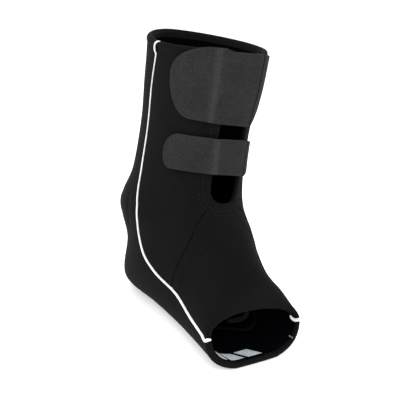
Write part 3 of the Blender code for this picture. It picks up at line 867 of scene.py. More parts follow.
@dataclass(frozen=True)
class Nap(Finish):
    """Loop tape: a felted pile of short curled fibres, paler where rubbed, with a painted highlight
    along its ridge and painted shade along the seam where it is sewn.
    """

    relief: float = 0.00022

    def dress(self, graph: Graph) -> Graph:
        """Ridged noise at two sizes makes the curls; a ramp lifts the tips and sinks the gaps."""
        place = graph.node("TexCoord").outputs["Object"]
        curls = graph.noise(place, 1150.0, 6.0, 0.72)
        fibres = graph.noise(place, 3600.0, 3.0, 0.7)
        worn = graph.noise(place, 95.0, 3.0, 0.55)
        pile = graph.weighed(curls, 0.62, fibres, 0.38)
        colour = graph.ramp(pile, 0.40, 0.64, (self.tone(0.48), self.tone(1.62)))
        shade = graph.ramp(worn, 0.30, 0.72, (self.tone(0.72), self.tone(1.25)))
        colour = graph.mix(0.35, colour, shade)
        # The "wear" factor holds paler rubbed edges and a painted highlight along the ridge: it
        # lightens the colour and adds pale tips.
        ridge = graph.factor("wear")
        colour = graph.mix(graph.math("MULTIPLY", ridge, 0.30), colour, self.tone(2.3))
        bar = graph.math("SUBTRACT", 0.665, graph.math("MULTIPLY", ridge, 0.10))
        tips = graph.math("GREATER_THAN", graph.noise(place, 1900.0, 2.0, 0.8), bar)
        colour = graph.mix(graph.math("MULTIPLY", tips, 0.42), colour, self.tone(3.6))
        # Painted shade: the tape goes near black in the valley along its row of stitches.
        painted_seam_shade = graph.math("MULTIPLY", graph.factor("sunk"), 0.95)
        colour = graph.mix(painted_seam_shade, colour, self.tone(0.10))
        graph.join(colour, "Base Color")
        graph.uneven(worn, 0.12, self.roughness - 0.06)
        lumps = graph.bump(graph.noise(place, 330.0, 3.0, 0.6), 0.0004, 0.55)
        graph.join(graph.bump(pile, self.relief, 1.0, lumps), "Normal")
        return graph


@dataclass(frozen=True)
class Tape(Finish):
    """Woven tape or smooth lining: narrow ribs along it, and a slight unevenness."""

    rib: float = 0.0007
    relief: float = 0.00006

    def dress(self, graph: Graph) -> Graph:
        """Ribs are a wave across the cloth, cut by a finer wave of threads along it."""
        cloth = graph.node("UVMap", uv_map="surface").outputs["UV"]
        place = graph.node("TexCoord").outputs["Object"]
        ribs = graph.wave(cloth, self.rib, "Y", 0.4)
        threads = graph.wave(cloth, self.rib * 0.55, "X", 0.6)
        weave = graph.weighed(ribs, 0.6, threads, 0.4)
        broad = graph.noise(place, 70.0, 3.0, 0.55)
        colour = graph.ramp(broad, 0.3, 0.7, (self.tone(0.75), self.tone(1.3)))
        colour = graph.mix(graph.math("MULTIPLY", weave, 0.3), colour, self.tone(2.0))
        graph.join(colour, "Base Color")
        graph.uneven(broad, 0.15, self.roughness - 0.07)
        graph.join(graph.bump(weave, self.relief, 0.9), "Normal")
        return graph


@dataclass(frozen=True)
class Beaded(Finish):
    """Reflective piping cloth: silver white, with a fine bead, dulled and scuffed here and there."""

    relief: float = 0.00003

    def dress(self, graph: Graph) -> Graph:
        """Small cells make the beads; noise dulls the colour and roughness in patches."""
        place = graph.node("TexCoord").outputs["Object"]
        beads = graph.node("TexVoronoi", {"Vector": place}, {"Scale": 5200.0}).outputs["Distance"]
        dull = graph.noise(place, 240.0, 4.0, 0.6)
        colour = graph.ramp(dull, 0.30, 0.62, (self.tone(0.80), self.tone(1.05)))
        colour = graph.mix(graph.math("MULTIPLY", beads, 0.25), colour, self.tone(0.7))
        graph.join(colour, "Base Color")
        graph.uneven(dull, 0.3, self.roughness - 0.15)
        graph.join(graph.bump(beads, self.relief, 0.7), "Normal")
        return graph


@dataclass(frozen=True)
class Thread(Finish):
    """Twisted sewing thread: slanting plies along the stitch."""

    ply: float = 0.00045

    def dress(self, graph: Graph) -> Graph:
        """The plies are a diagonal wave over the stitch's own lengths."""
        cloth = graph.node("UVMap", uv_map="surface").outputs["UV"]
        plies = graph.wave(cloth, self.ply, "DIAGONAL", 0.3)
        graph.join(graph.ramp(plies, 0.1, 0.9, (self.tone(0.5), self.tone(1.4))), "Base Color")
        graph.join(graph.bump(plies, 0.00006, 0.8), "Normal")
        return graph


@dataclass(frozen=True)
class Moulded(Finish):
    """Hook tape's moulded base, or a flat printed film: fine cells and a patchy gloss."""

    cells: float = 900.0
    relief: float = 0.00008
    wear: float = 0.25

    def dress(self, graph: Graph) -> Graph:
        """Cells give the bump, and noise shades and wears the colour."""
        place = graph.node("TexCoord").outputs["Object"]
        dots = graph.node("TexVoronoi", {"Vector": place}, {"Scale": self.cells, "Randomness": 0.3})
        worn = graph.noise(place, 420.0, 5.0, 0.65)
        colour = graph.ramp(worn, 0.34, 0.62, (self.tone(1 - self.wear), self.tone(1.05)))
        graph.join(colour, "Base Color")
        graph.uneven(worn, 0.25, self.roughness - 0.12)
        graph.join(graph.bump(dots.outputs["Distance"], self.relief, 0.8), "Normal")
        return graph


NEOPRENE = Knit("neoprene_jersey", "neoprene", (0.0043, 0.0039, 0.0044), 0.86, 0.045, 0.008,
                lint=0.05)
BINDING = Knit("binding_jersey", "lining", (0.0042, 0.0040, 0.0043), 0.84, 0.045, 0.010,
               wale=0.0005)
# Five times paler than the binding: painted light, where light from the openings falls on the pad
# inside the toe.
PAINTED_LIGHT_PAD = Knit("painted_light_pad_jersey", "lining", (0.020, 0.020, 0.021), 0.84, 0.045, 0.010, wale=0.0005)
# Dark navy lining, darker still than its cloth: painted shade deep inside the sleeve.
LINING_WITH_PAINTED_SHADE = Tape("lining_jersey_painted_shade", "lining", (0.0008, 0.0010, 0.0016), 0.9, 0.01)
HEM = Tape("hem_tape", "lining", (0.0044, 0.0043, 0.0050), 0.82, 0.05, 0.008,
           rib=0.0009, relief=0.0001)
LOOPS = Nap("loop_tape", "strap", (0.0205, 0.0203, 0.0208), 0.92, 0.04, 0.016)
PIPING = Beaded("reflective_piping", "reflective", (0.76, 0.76, 0.77), 0.55, 0.3)
THREAD = Thread("black_thread", "thread", (0.009, 0.009, 0.0095), 0.7, 0.1, 0.01)
HOOKS = Moulded("hook_tape", "hook", (0.014, 0.014, 0.014), 0.5, 0.4)
PRINT = Moulded("transfer_print", "print", (0.47, 0.52, 0.55), 0.6, 0.25,
                cells=2600.0, relief=0.00002, wear=0.3)
TAPE_END = Moulded("tape_end_print", "print", (0.20, 0.21, 0.22), 0.6, 0.2)


# ---------------------------------------------------------------------------------------------------
# Sub-assemblies


@dataclass
class Assembly:
    """A group of pieces that are built, dressed and held alike."""

    made: list[bpy.types.Object] = field(default_factory=list, init=False)

    def keep(self, piece: bpy.types.Object, finish: Finish, hold: Hold | None,
             nodes: Sequence[str] = ()) -> bpy.types.Object:
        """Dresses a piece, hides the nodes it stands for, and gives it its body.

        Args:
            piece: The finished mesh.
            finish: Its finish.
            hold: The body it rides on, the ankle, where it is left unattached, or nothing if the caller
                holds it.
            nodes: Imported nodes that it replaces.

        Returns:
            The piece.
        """
        piece.data.materials.append(finish.make())
        if nodes:
            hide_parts(*nodes)
        if hold is Hold.ANKLE:
            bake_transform(piece)
        elif hold is not None:
            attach(piece, hold.value)
        self.made.append(piece)
        return piece


def opening_line(width: float, straight: int = 60, foot: int = 60) -> tuple[np.ndarray, np.ndarray]:
    """A line round the front opening at a distance outside its edge, from the rim round to the rim.

    Two straight sides follow the edge at that distance; between them the line is the keyhole's
    squared half round grown by it: each of sine and cosine is raised to 2 over the squareness.

    Args:
        width: Distance outside the edge; less than 0 is inside the opening.
        straight: Points on each side.
        foot: Points round the keyhole's foot.

    Returns:
        Its stations and angles.
    """
    u_fine = np.linspace(RIM, ANKLE + 1.0, 400)
    height = SLEEVE.along(SLEEVE.stations(), u_fine)[:, 1]
    level = SLEEVE.keyhole_height + SLEEVE.keyhole_round
    u_level = np.interp(-level, -height, u_fine)
    power = 2 / SLEEVE.keyhole_squareness
    share = np.linspace(-1, 1, foot)
    swing = math.pi / 2 * np.sign(share) * (0.5 - 0.5 * np.cos(math.pi * np.abs(share))) ** 0.75
    sine = np.sign(swing) * np.abs(np.sin(swing)) ** power
    cosine = np.clip(np.cos(swing), 0, 1) ** power
    up = (SLEEVE.keyhole_round + width) * (1 - cosine) - width
    u_foot = np.interp(-(SLEEVE.keyhole_height + up), -height, u_fine)
    u_side = np.linspace(RIM + 0.03, u_level, straight)[:-1]
    side = SLEEVE.slit(u_side) + width
    across = np.concatenate([-side, (SLEEVE.slit_half + width) * sine, side[::-1]])
    u = np.concatenate([u_side, u_foot, u_side[::-1]])
    return u, SLEEVE.turn(u, 0.0, across)


def opening_gap(u: np.ndarray, v: np.ndarray) -> np.ndarray:
    """Distance outside the front opening's edge, by the family of curves in opening_line.

    Below the keyhole's centre the distance w solves (a/(h+w))^p + (b/(r+w))^p = 1 for the place's
    lengths a across and b down and the squareness p; a few steps of correction find it.

    Args:
        u: Stations.
        v: Angles, from minus a half turn to a half turn.

    Returns:
        Millimetres, less than 0 inside the opening.
    """
    across = np.abs(v) / SLEEVE.turn(u, 0.0, 1.0)
    height = SLEEVE.along(SLEEVE.stations(), u)[..., 1]
    down = SLEEVE.keyhole_height + SLEEVE.keyhole_round - height
    half, tall, power = SLEEVE.slit_half, SLEEVE.keyhole_round, SLEEVE.keyhole_squareness
    gap = np.hypot(across, np.maximum(down, 0)) - (half + tall) / 2
    for _ in range(6):
        wide, long = np.maximum(half + gap, 1.0), np.maximum(tall + gap, 1.0)
        reach = ((across / wide) ** power + np.maximum(down / long, 0) ** power) ** (1 / power)
        gap = gap + (reach - 1) * (wide + long) / 2
    return np.where(down > 0, gap, across - SLEEVE.slit(np.minimum(u, ANKLE - 0.7)))


def second_row(u: np.ndarray | float) -> np.ndarray:
    """Angle of the stitches that run beside the instep seam, on the instep."""
    gap = np.interp(u, [4.7, 5.3, 6.0, SLEEVE.seam_end], [12.0, 10.0, 9.5, 8.5])
    return SLEEVE.seam(u) - SLEEVE.turn(u, SLEEVE.seam(u), gap)


PINCH, PINCH_WIDTH = 1.45, 3.4
HEM_ROW = 5.4  # millimetres from the rim to its row of stitches
OPENING_ROW = 5.7  # millimetres from the front opening's edge to its valley


def pinch(u: np.ndarray, gap: np.ndarray) -> np.ndarray:
    """How much thinner the foam is beside the front opening: a bell curve of the distance to it."""
    return PINCH * bell(gap, 0.0, PINCH_WIDTH) * (u < ANKLE + 1.2)


def sewn_relief(u: np.ndarray, v: np.ndarray, gaps: dict[str, np.ndarray]) -> np.ndarray:
    """Pillowed hems: a bell curve up beside each row of stitches and one down under it.

    Args:
        u: Stations.
        v: Angles.
        gaps: Distances from the panel's edges, of which "top" and "bottom" are used.

    Returns:
        Height of the foam in millimetres, outwards.
    """
    angle = half_turn(v)
    lift = np.zeros_like(u)
    if float(u.min()) < 0.5:
        lift += 0.30 * bell(gaps["top"], 2.6, 1.5) - 0.38 * bell(gaps["top"], HEM_ROW, 0.75)
    if float(u.max()) > 8.5:
        lift += 0.25 * bell(gaps["bottom"], 2.6, 1.9)
    gap = opening_gap(u, angle)
    lift -= 0.34 * bell(gap, OPENING_ROW, 0.8) * (u < 5.2)
    lift -= 0.22 * bell(gap, OPENING_ROW + 3.2, 2.0) * (u < 5.2)
    per_mm = SLEEVE.turn(u, np.abs(angle), 1.0)
    row = (np.abs(angle) - second_row(u)) / per_mm
    seam = (np.abs(angle) - SLEEVE.seam(u)) / per_mm
    on_instep = bell(u, 5.8, 1.35) * (seam < 0)
    lift += (0.34 / (1 + np.exp(-row / 0.35)) - 0.34 * bell(row, 0.0, 0.9)) * on_instep
    lift += 0.25 * bell(seam, 3.0, 1.6) * bell(u, 5.5, 1.3) * (seam > 0)
    return lift


@dataclass
class FoamPanels(Assembly):
    """The four soft neoprene panels: two sides, the back with heel and sole, and the instep."""

    under_piping: float = 0.35
    seam_gap: float = 0.14
    rim_round: float = 1.9
    toe_round: float = 1.9
    piping_round: float = 1.15
    seam_round: float = 0.75
    rim_fold: float = 2.4
    toe_fold: float = 3.4

    def build(self) -> None:
        """Builds each panel in one length."""
        for side in Side:
            self._side(side)
        self._back()
        self._instep()

    def _hold(self, piece: bpy.types.Object, nodes: Sequence[str]) -> None:
        self.keep(piece, NEOPRENE, None)
        # The inner faces take the lining, whose colour carries painted shade.
        piece.data.materials.append(LINING_WITH_PAINTED_SHADE.make())
        index = np.zeros(len(piece.data.polygons), np.int32)
        index[self._lined.size:2 * self._lined.size] = self._lined.ravel()
        piece.data.polygons.foreach_set("material_index", index)
        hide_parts(*nodes)
        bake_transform(piece)

    def _slab(self, name: str, patch: Patch, rounds: dict[str, float]) -> bpy.types.Object:
        """A foam slab with the valleys of its stitch rows; its lining stops short of the folds."""
        u, _, gaps = patch.grid()
        top, bottom = (gaps[edge][:-1, :-1] + 0.5 for edge in ("top", "bottom"))
        below_fold = (top > self.rim_fold) | (u.min() > 0.5)
        self._lined = below_fold & ((bottom > self.toe_fold) | (u.max() < 8.5))
        return foam_slab(name, patch, rounds, thick=SLEEVE.wall, extra=sewn_relief)

    def _side(self, side: Side) -> None:
        """A side panel, from the front opening and the instep seam to the piping."""
        def front(u: np.ndarray) -> np.ndarray:
            u = np.asarray(u, float)
            above = SLEEVE.slit_angle(np.minimum(u, SLEEVE.seam_start))
            below = SLEEVE.seam(u)
            line = np.where(u < SLEEVE.seam_start, above, below)
            inset = np.interp(u, [3.7, 4.1], [0.6, self.seam_gap])
            return line + SLEEVE.turn(u, line, inset)

        def back(u: np.ndarray) -> np.ndarray:
            return SLEEVE.piping(u) - SLEEVE.turn(u, SLEEVE.piping(u), self.under_piping)

        end = SLEEVE.seam_end - 0.02
        edges = {"front": self.seam_round, "back": self.piping_round, "top": self.rim_round}
        if side is Side.RIGHT:
            patch = Patch(front, back, end=end)
        else:
            patch = Patch(lambda u: -back(u), lambda u: -front(u), end=end)
            edges["front"], edges["back"] = edges["back"], edges["front"]
        piece = self._slab(f"{side.label}_side_foam", patch, edges)
        name = side.label
        self._hold(piece, [f"{name}_side_panel_{part}" for part in ("upper", "flex", "lower")])

    def _back(self) -> None:
        """The panel behind the pipings, down the heel and along the sole."""
        def front(u: np.ndarray) -> np.ndarray:
            return SLEEVE.piping(u) + SLEEVE.turn(u, SLEEVE.piping(u), self.under_piping)

        patch = Patch(front, lambda u: 2 * math.pi - front(u), step=1.9)
        edges = {"front": self.piping_round, "back": self.piping_round,
                 "top": self.rim_round, "bottom": self.toe_round}
        piece = self._slab("heel_and_sole_foam", patch, edges)
        self._hold(piece, ["back_panel_upper", "achilles_flex", "heel_and_sole_panel"])

    def _instep(self) -> None:
        """The panel over the instep, from the keyhole's foot to the toe opening."""
        def half(u: np.ndarray) -> np.ndarray:
            u = np.asarray(u, float)
            below = SLEEVE.piping(u) - SLEEVE.turn(u, SLEEVE.piping(u), self.under_piping)
            above = SLEEVE.seam(u) - SLEEVE.turn(u, SLEEVE.seam(u), self.seam_gap)
            return np.where(u < SLEEVE.seam_end - 0.02, np.minimum(above, below), below)

        def top(across: np.ndarray) -> np.ndarray:
            return ANKLE + 0.03 - (ANKLE - SLEEVE.seam_start) * (2 * across - 1) ** 2

        patch = Patch(lambda u: -half(u), half, start=top)
        edges = {"front": self.seam_round, "back": self.seam_round, "bottom": self.toe_round}
        piece = self._slab("instep_foam", patch, edges)
        self._hold(piece, ["instep_panel", "instep_panel_flex"])


@dataclass
class Binding(Assembly):
    """The folded edging round the front opening and its rows of stitches."""

    width: float = 5.9
    proud: float = 0.24
    row: float = 4.9
    corner: float = 0.9
    stitches: Stitches = field(default_factory=lambda: Stitches(2.1, 0.9, 0.27))

    def build(self) -> None:
        """Builds the band and the stitches that hold it."""
        self.keep(self._band(), BINDING, Hold.ANKLE, ["keyhole_facing"])
        u, v = opening_line(self.row, 40, 40)
        path, normal = on_skin(u, v, -self.proud)
        row = self.stitches.row("opening_stitches", path, normal)
        self.keep(row, THREAD, Hold.ANKLE, ["keyhole_stitching"])
        u, v = opening_line(self.width + 1.1, 8, 40)
        foot = u > 3.62
        path, normal = on_skin(u[foot], v[foot], 0.12)
        row = self.stitches.row("keyhole_zigzag", path, normal, zigzag=0.55)
        self.keep(row, THREAD, Hold.ANKLE)

    def _band(self) -> bpy.types.Object:
        """A flat band over the opening's edge: a rounded rectangle carried round the opening.

        Its section runs from the outer margin, over the outer face, round the edge and back along
        the inner face; each corner of the section is a quarter round.
        """
        turn = np.linspace(0, math.pi / 2, 5)
        r, wall = self.corner, SLEEVE.wall
        out, within = -self.proud, SLEEVE.wall + self.proud
        face = np.linspace(self.width - 0.5, r - 0.3, 9)
        far = np.linspace(r - 0.3, self.width - 0.5, 5)
        section = np.concatenate([
            [[self.width + 0.15, 0.35], [self.width, 0.02], [self.width - 0.2, out + 0.07]],
            np.stack([face, np.full(9, out)], -1),
            np.stack([-0.3 + r * (1 - np.sin(turn)), out + r * (1 - np.cos(turn))], -1)[1:],
            np.stack([-0.3 + r * (1 - np.cos(turn)), within - r * (1 - np.sin(turn))], -1),
            np.stack([far, np.full(5, within)], -1)[1:],
            [[self.width, wall + 0.02], [self.width + 0.15, wall - 0.35]],
        ])
        lines = [opening_line(float(w)) for w in section[:, 0]]
        u = np.stack([line[0] for line in lines], -1)
        v = np.stack([line[1] for line in lines], -1)
        far_off = np.full_like(u, 50.0)
        height = relief(u, v) + sewn_relief(u, v, {"top": far_off, "bottom": far_off})
        ease = np.clip(1 - section[:, 1] / wall, 0, 1)
        thinner = pinch(u, np.maximum(section[:, 0], 0.0)) * (1 - ease)
        points = SLEEVE.skin(u, v, section[:, 1] - height * ease - thinner)
        rows, columns = u.shape
        index = np.arange(rows * columns).reshape(rows, columns)
        around = np.roll(index, -1, axis=1)
        quads = np.stack([around[:-1], around[1:], index[1:], index[:-1]], -1).reshape(-1, 4)
        faces = [*quads.tolist(), index[0].tolist(), index[-1, ::-1].tolist()]
        made = add_object("opening_binding", points.reshape(-1, 3), faces, sharp=70)
        run, over = run_along(points[:, columns // 2]), run_along(section)
        pair = np.stack(np.broadcast_arrays(over[None, :], run[:, None]), -1)
        put_uv(made, pair.reshape(-1, 2))
        return made


# Places along a piping's turned-in ends: distance from the lip (less than 0 is beyond it), distance
# from the piping towards the front, depth, and radius of the cord.
RIM_FOLD = ((9.2, -0.3, 0.2, 0.36), (8.4, -0.8, 0.0, 0.50), (6.8, -1.7, -0.2, 0.62),
            (4.6, -2.3, -0.3, 0.66), (2.5, -2.0, -0.3, 0.66), (1.1, -1.1, -0.2, 0.62),
            (0.3, 0.0, 0.1, 0.56), (0.1, 0.8, 0.9, 0.42))
TOE_FOLD = ((8.4, 0.0, 0.0, 0.95), (6.2, -0.2, -0.2, 1.0), (4.2, -0.4, -0.3, 1.0),
            (2.3, -0.3, -0.4, 1.0), (0.8, 0.3, -0.1, 1.0), (0.2, 1.4, 0.9, 1.0))
TOE_INSIDE = {
    Side.RIGHT: ((-0.5, 3.0, 2.6, 1.15), (-0.2, 4.8, 4.0, 1.15), (0.4, 6.8, 5.0, 1.1),
                 (1.0, 8.8, 5.3, 1.0), (1.5, 10.4, 5.2, 0.7)),
    Side.LEFT: ((-0.3, 2.4, 2.2, 0.8),),
}


@dataclass
class Piping(Assembly):
    """The reflective cord down each side, with its turned-in ends."""

    top_radius: float = 0.42
    foot_radius: float = 1.02
    start: float = 0.40
    stop: float = 8.72

    def build(self) -> None:
        """Builds both cords and their four ends."""
        for side in Side:
            u = np.linspace(self.start, self.stop, 260)
            radii = [self.top_radius, 0.60, 0.86, self.foot_radius]
            radius = np.interp(u, [1.0, 3.6, 5.4, 7.0], radii)
            path, _ = on_skin(u, side.value * SLEEVE.piping(u), 0.12 * radius)
            cord = sweep(f"{side.label}_piping_cord", path, radius, 14)
            self.keep(cord, PIPING, Hold.ANKLE, [f"{side.label}_piping"])
            self._end(side, "rim", Hold.LEG, RIM_FOLD)
            self._end(side, "toe", Hold.FOOT, TOE_FOLD + TOE_INSIDE[side])

    def _end(self, side: Side, lip: str, hold: Hold, places: Sequence[tuple[float, ...]]) -> None:
        """A turned-in end: a smooth curve through places beside the lip.

        A place beyond the lip is reached along the skin's own slope at the lip.

        Args:
            side: The side of the sleeve.
            lip: "rim" or "toe".
            hold: The body it rides on.
            places: Its places, as in RIM_FOLD.
        """
        rows = np.array(places)
        t = np.linspace(0, len(rows) - 1.001, 60)
        gone, across, depth, radius = np.moveaxis(SLEEVE.along(rows, t), -1, 0)
        edge, way = (RIM, 1.0) if lip == "rim" else (TOE, -1.0)
        at_lip = SLEEVE.piping(edge)
        u = edge + way * SLEEVE.rise(edge, side.value * at_lip, np.maximum(gone, 0.0))
        line = SLEEVE.piping(u)
        v = side.value * (line - SLEEVE.turn(u, line, across))
        path = SLEEVE.skin(u, v, depth)
        slope = SLEEVE.loft(edge, v) - SLEEVE.loft(edge + way * 0.05, v)
        slope /= np.linalg.norm(slope, axis=-1, keepdims=True)
        path = path + slope * np.maximum(-gone, 0.0)[:, None]
        made = sweep(f"{side.label}_piping_{lip}_fold", path, np.maximum(radius, 0.3), 14)
        self.keep(made, PIPING, hold, [f"{side.label}_piping_{lip}_end"])


@dataclass
class Sewing(Assembly):
    """The visible rows of thread on the panels."""

    seam_thread: Stitches = field(default_factory=lambda: Stitches(1.7, 0.55, 0.3))
    row_thread: Stitches = field(default_factory=lambda: Stitches(2.2, 0.9, 0.26))

    def build(self) -> None:
        """Instep seams with their second rows, and the row along the rim."""
        for side in Side:
            u = np.linspace(SLEEVE.seam_start + 0.45, SLEEVE.seam_end - 0.1, 90)
            path, normal = on_skin(u, side.value * SLEEVE.seam(u), 0.75)
            row = self.seam_thread.row(f"{side.label}_instep_seam_thread", path, normal, zigzag=0.5)
            self.keep(row, THREAD, Hold.ANKLE, [f"{side.label}_instep_seam"])
            u = np.linspace(4.72, SLEEVE.seam_end - 0.12, 90)
            path, normal = on_skin(u, side.value * second_row(u), 0.22)
            row = self.row_thread.row(f"{side.label}_instep_second_row", path, normal)
            self.keep(row, THREAD, Hold.ANKLE)
        self._rim()

    def _rim(self) -> None:
        """The row that holds the rim's hem, outside and round the back."""
        u = SLEEVE.down(HEM_ROW)
        start = float(SLEEVE.slit_angle(u) + SLEEVE.turn(u, 0.3, 7.2))
        v = np.linspace(start, 2 * math.pi - start, 300)
        fix = SLEEVE.rise(0.0, v, HEM_ROW)
        path, normal = on_skin(fix, v, 0.26)
        keep = np.abs(np.sin(v)) < np.sin(1.47)
        parts = np.flatnonzero(np.diff(np.concatenate([[0], keep.astype(int), [0]])))
        for number, (a, b) in enumerate(zip(parts[::2], parts[1::2], strict=True)):
            if b - a > 8:
                row = self.row_thread.row(f"rim_stitches_{number}", path[a:b], normal[a:b])
                self.keep(row, THREAD, Hold.LEG, ["rim_stitching"] if number == 0 else [])


# Cords sunk in the sole lining: radius, finish, and the stations and degrees that they pass.
SUNK_CORDS = {
    "lining_seam_tape": (1.9, BINDING, ((8.02, 186.0), (8.14, 170.0), (8.24, 151.0),
                                        (8.10, 132.0), (7.72, 114.0))),
    # The pad's paler jersey is painted light from the openings.
    "lining_pad_painted_light": (2.9, PAINTED_LIGHT_PAD, ((7.93, 160.0), (7.95, 153.0), (7.96, 146.0),
                              (7.94, 139.0), (7.89, 132.0))),
}
CORD_SINK = 0.9
PRINT_BARS = ((-0.10, 0.18), (0.26, 0.56), (0.64, 0.92))  # radians from the sole's middle


def band(low: float, high: float) -> tuple[Callable, Callable]:
    """The two straight edges of a patch, at fixed angles."""
    return lambda u: np.full_like(u, low), lambda u: np.full_like(u, high)


@dataclass
class Inside(Assembly):
    """What shows inside: the rim's tape, the sole lining with its print, and taped seams."""

    rim_width: float = 4.7
    tape: float = 0.9

    def build(self) -> None:
        """Builds the tapes, the lining and the print."""
        start = float(SLEEVE.slit_angle(RIM) + SLEEVE.turn(RIM, 0.3, 5.6))
        end = SLEEVE.down(self.rim_width)
        patch = Patch(*band(start, 2 * math.pi - start), start=SLEEVE.down(1.3), end=end,
                      step=1.6, near=NEAR_TAPE)
        edges = {"top": 0.42, "bottom": 0.42}
        tape = foam_slab("rim_tape", patch, edges, SLEEVE.wall - 0.25, self.tape, False)
        self.keep(tape, HEM, Hold.LEG, ["rim_hem_tape"])
        patch = Patch(*band(math.pi - 1.12, math.pi + 1.12), start=6.7, end=TOE - 0.10,
                      step=2.0, near=NEAR_TAPE)
        edges = dict.fromkeys(("front", "back", "top", "bottom"), 0.35)
        sole = foam_slab("sole_cushion_lining", patch, edges, SLEEVE.wall - 0.15, 0.8, False)
        self.keep(sole, LINING_WITH_PAINTED_SHADE, Hold.FOOT, ["sole_lining"])
        self._toe_tape()
        self._arc()
        self._print()

    def _toe_tape(self) -> None:
        """The toe opening's hem, folded inside, with its cut end showing beside the sole."""
        patch = Patch(*band(-1.36, 1.36), start=TOE - 0.42, end=TOE - 0.05,
                      step=1.6, near=NEAR_TAPE)
        edges = dict.fromkeys(("front", "back", "top", "bottom"), 0.4)
        tape = foam_slab("toe_tape_instep", patch, edges, SLEEVE.wall - 0.2, 0.85, False)
        self.keep(tape, HEM, Hold.FOOT)
        u = np.linspace(TOE - 0.16, TOE - 0.02, 12)
        v = np.full_like(u, 2.165)
        end = sweep("toe_tape_end", SLEEVE.skin(u, v, SLEEVE.wall + 0.25), 0.42, 8)
        self.keep(end, TAPE_END, Hold.FOOT)

    def _arc(self) -> None:
        """A taped seam of the lining that curves across the inner sole, and the pad it holds, in paler
        jersey that paints the light falling in through the openings.

        Both are cords sunk into the lining, so that a low rounded band stands out.
        """
        for name, (radius, finish, places) in SUNK_CORDS.items():
            rows = np.array(places)
            line = SLEEVE.along(rows, np.linspace(0, len(rows) - 1.001, 80))
            depth = SLEEVE.wall + 0.65 - CORD_SINK
            path = SLEEVE.skin(line[:, 0], np.radians(line[:, 1]), depth)
            self.keep(sweep(name, path, radius, 16), finish, Hold.FOOT)

    def _print(self) -> None:
        """Plain slanted bars on the sole lining, each a thin strip that leans along the lip."""
        def edge(at: float) -> Callable:
            return lambda u: math.pi + at + (TOE - u) * 0.9 - 0.12

        for number, (near, far) in enumerate(PRINT_BARS):
            patch = Patch(edge(near), edge(far), start=TOE - 0.26, end=TOE - 0.08,
                          step=1.5, near=(0.0, 0.1, 0.3))
            bar = foam_slab(f"sole_print_bar_{number}", patch, {"front": 0.05, "back": 0.05},
                            SLEEVE.wall + 0.62, 0.12, False)
            self.keep(bar, PRINT, Hold.FOOT, ["sole_print"] if number == 0 else [])


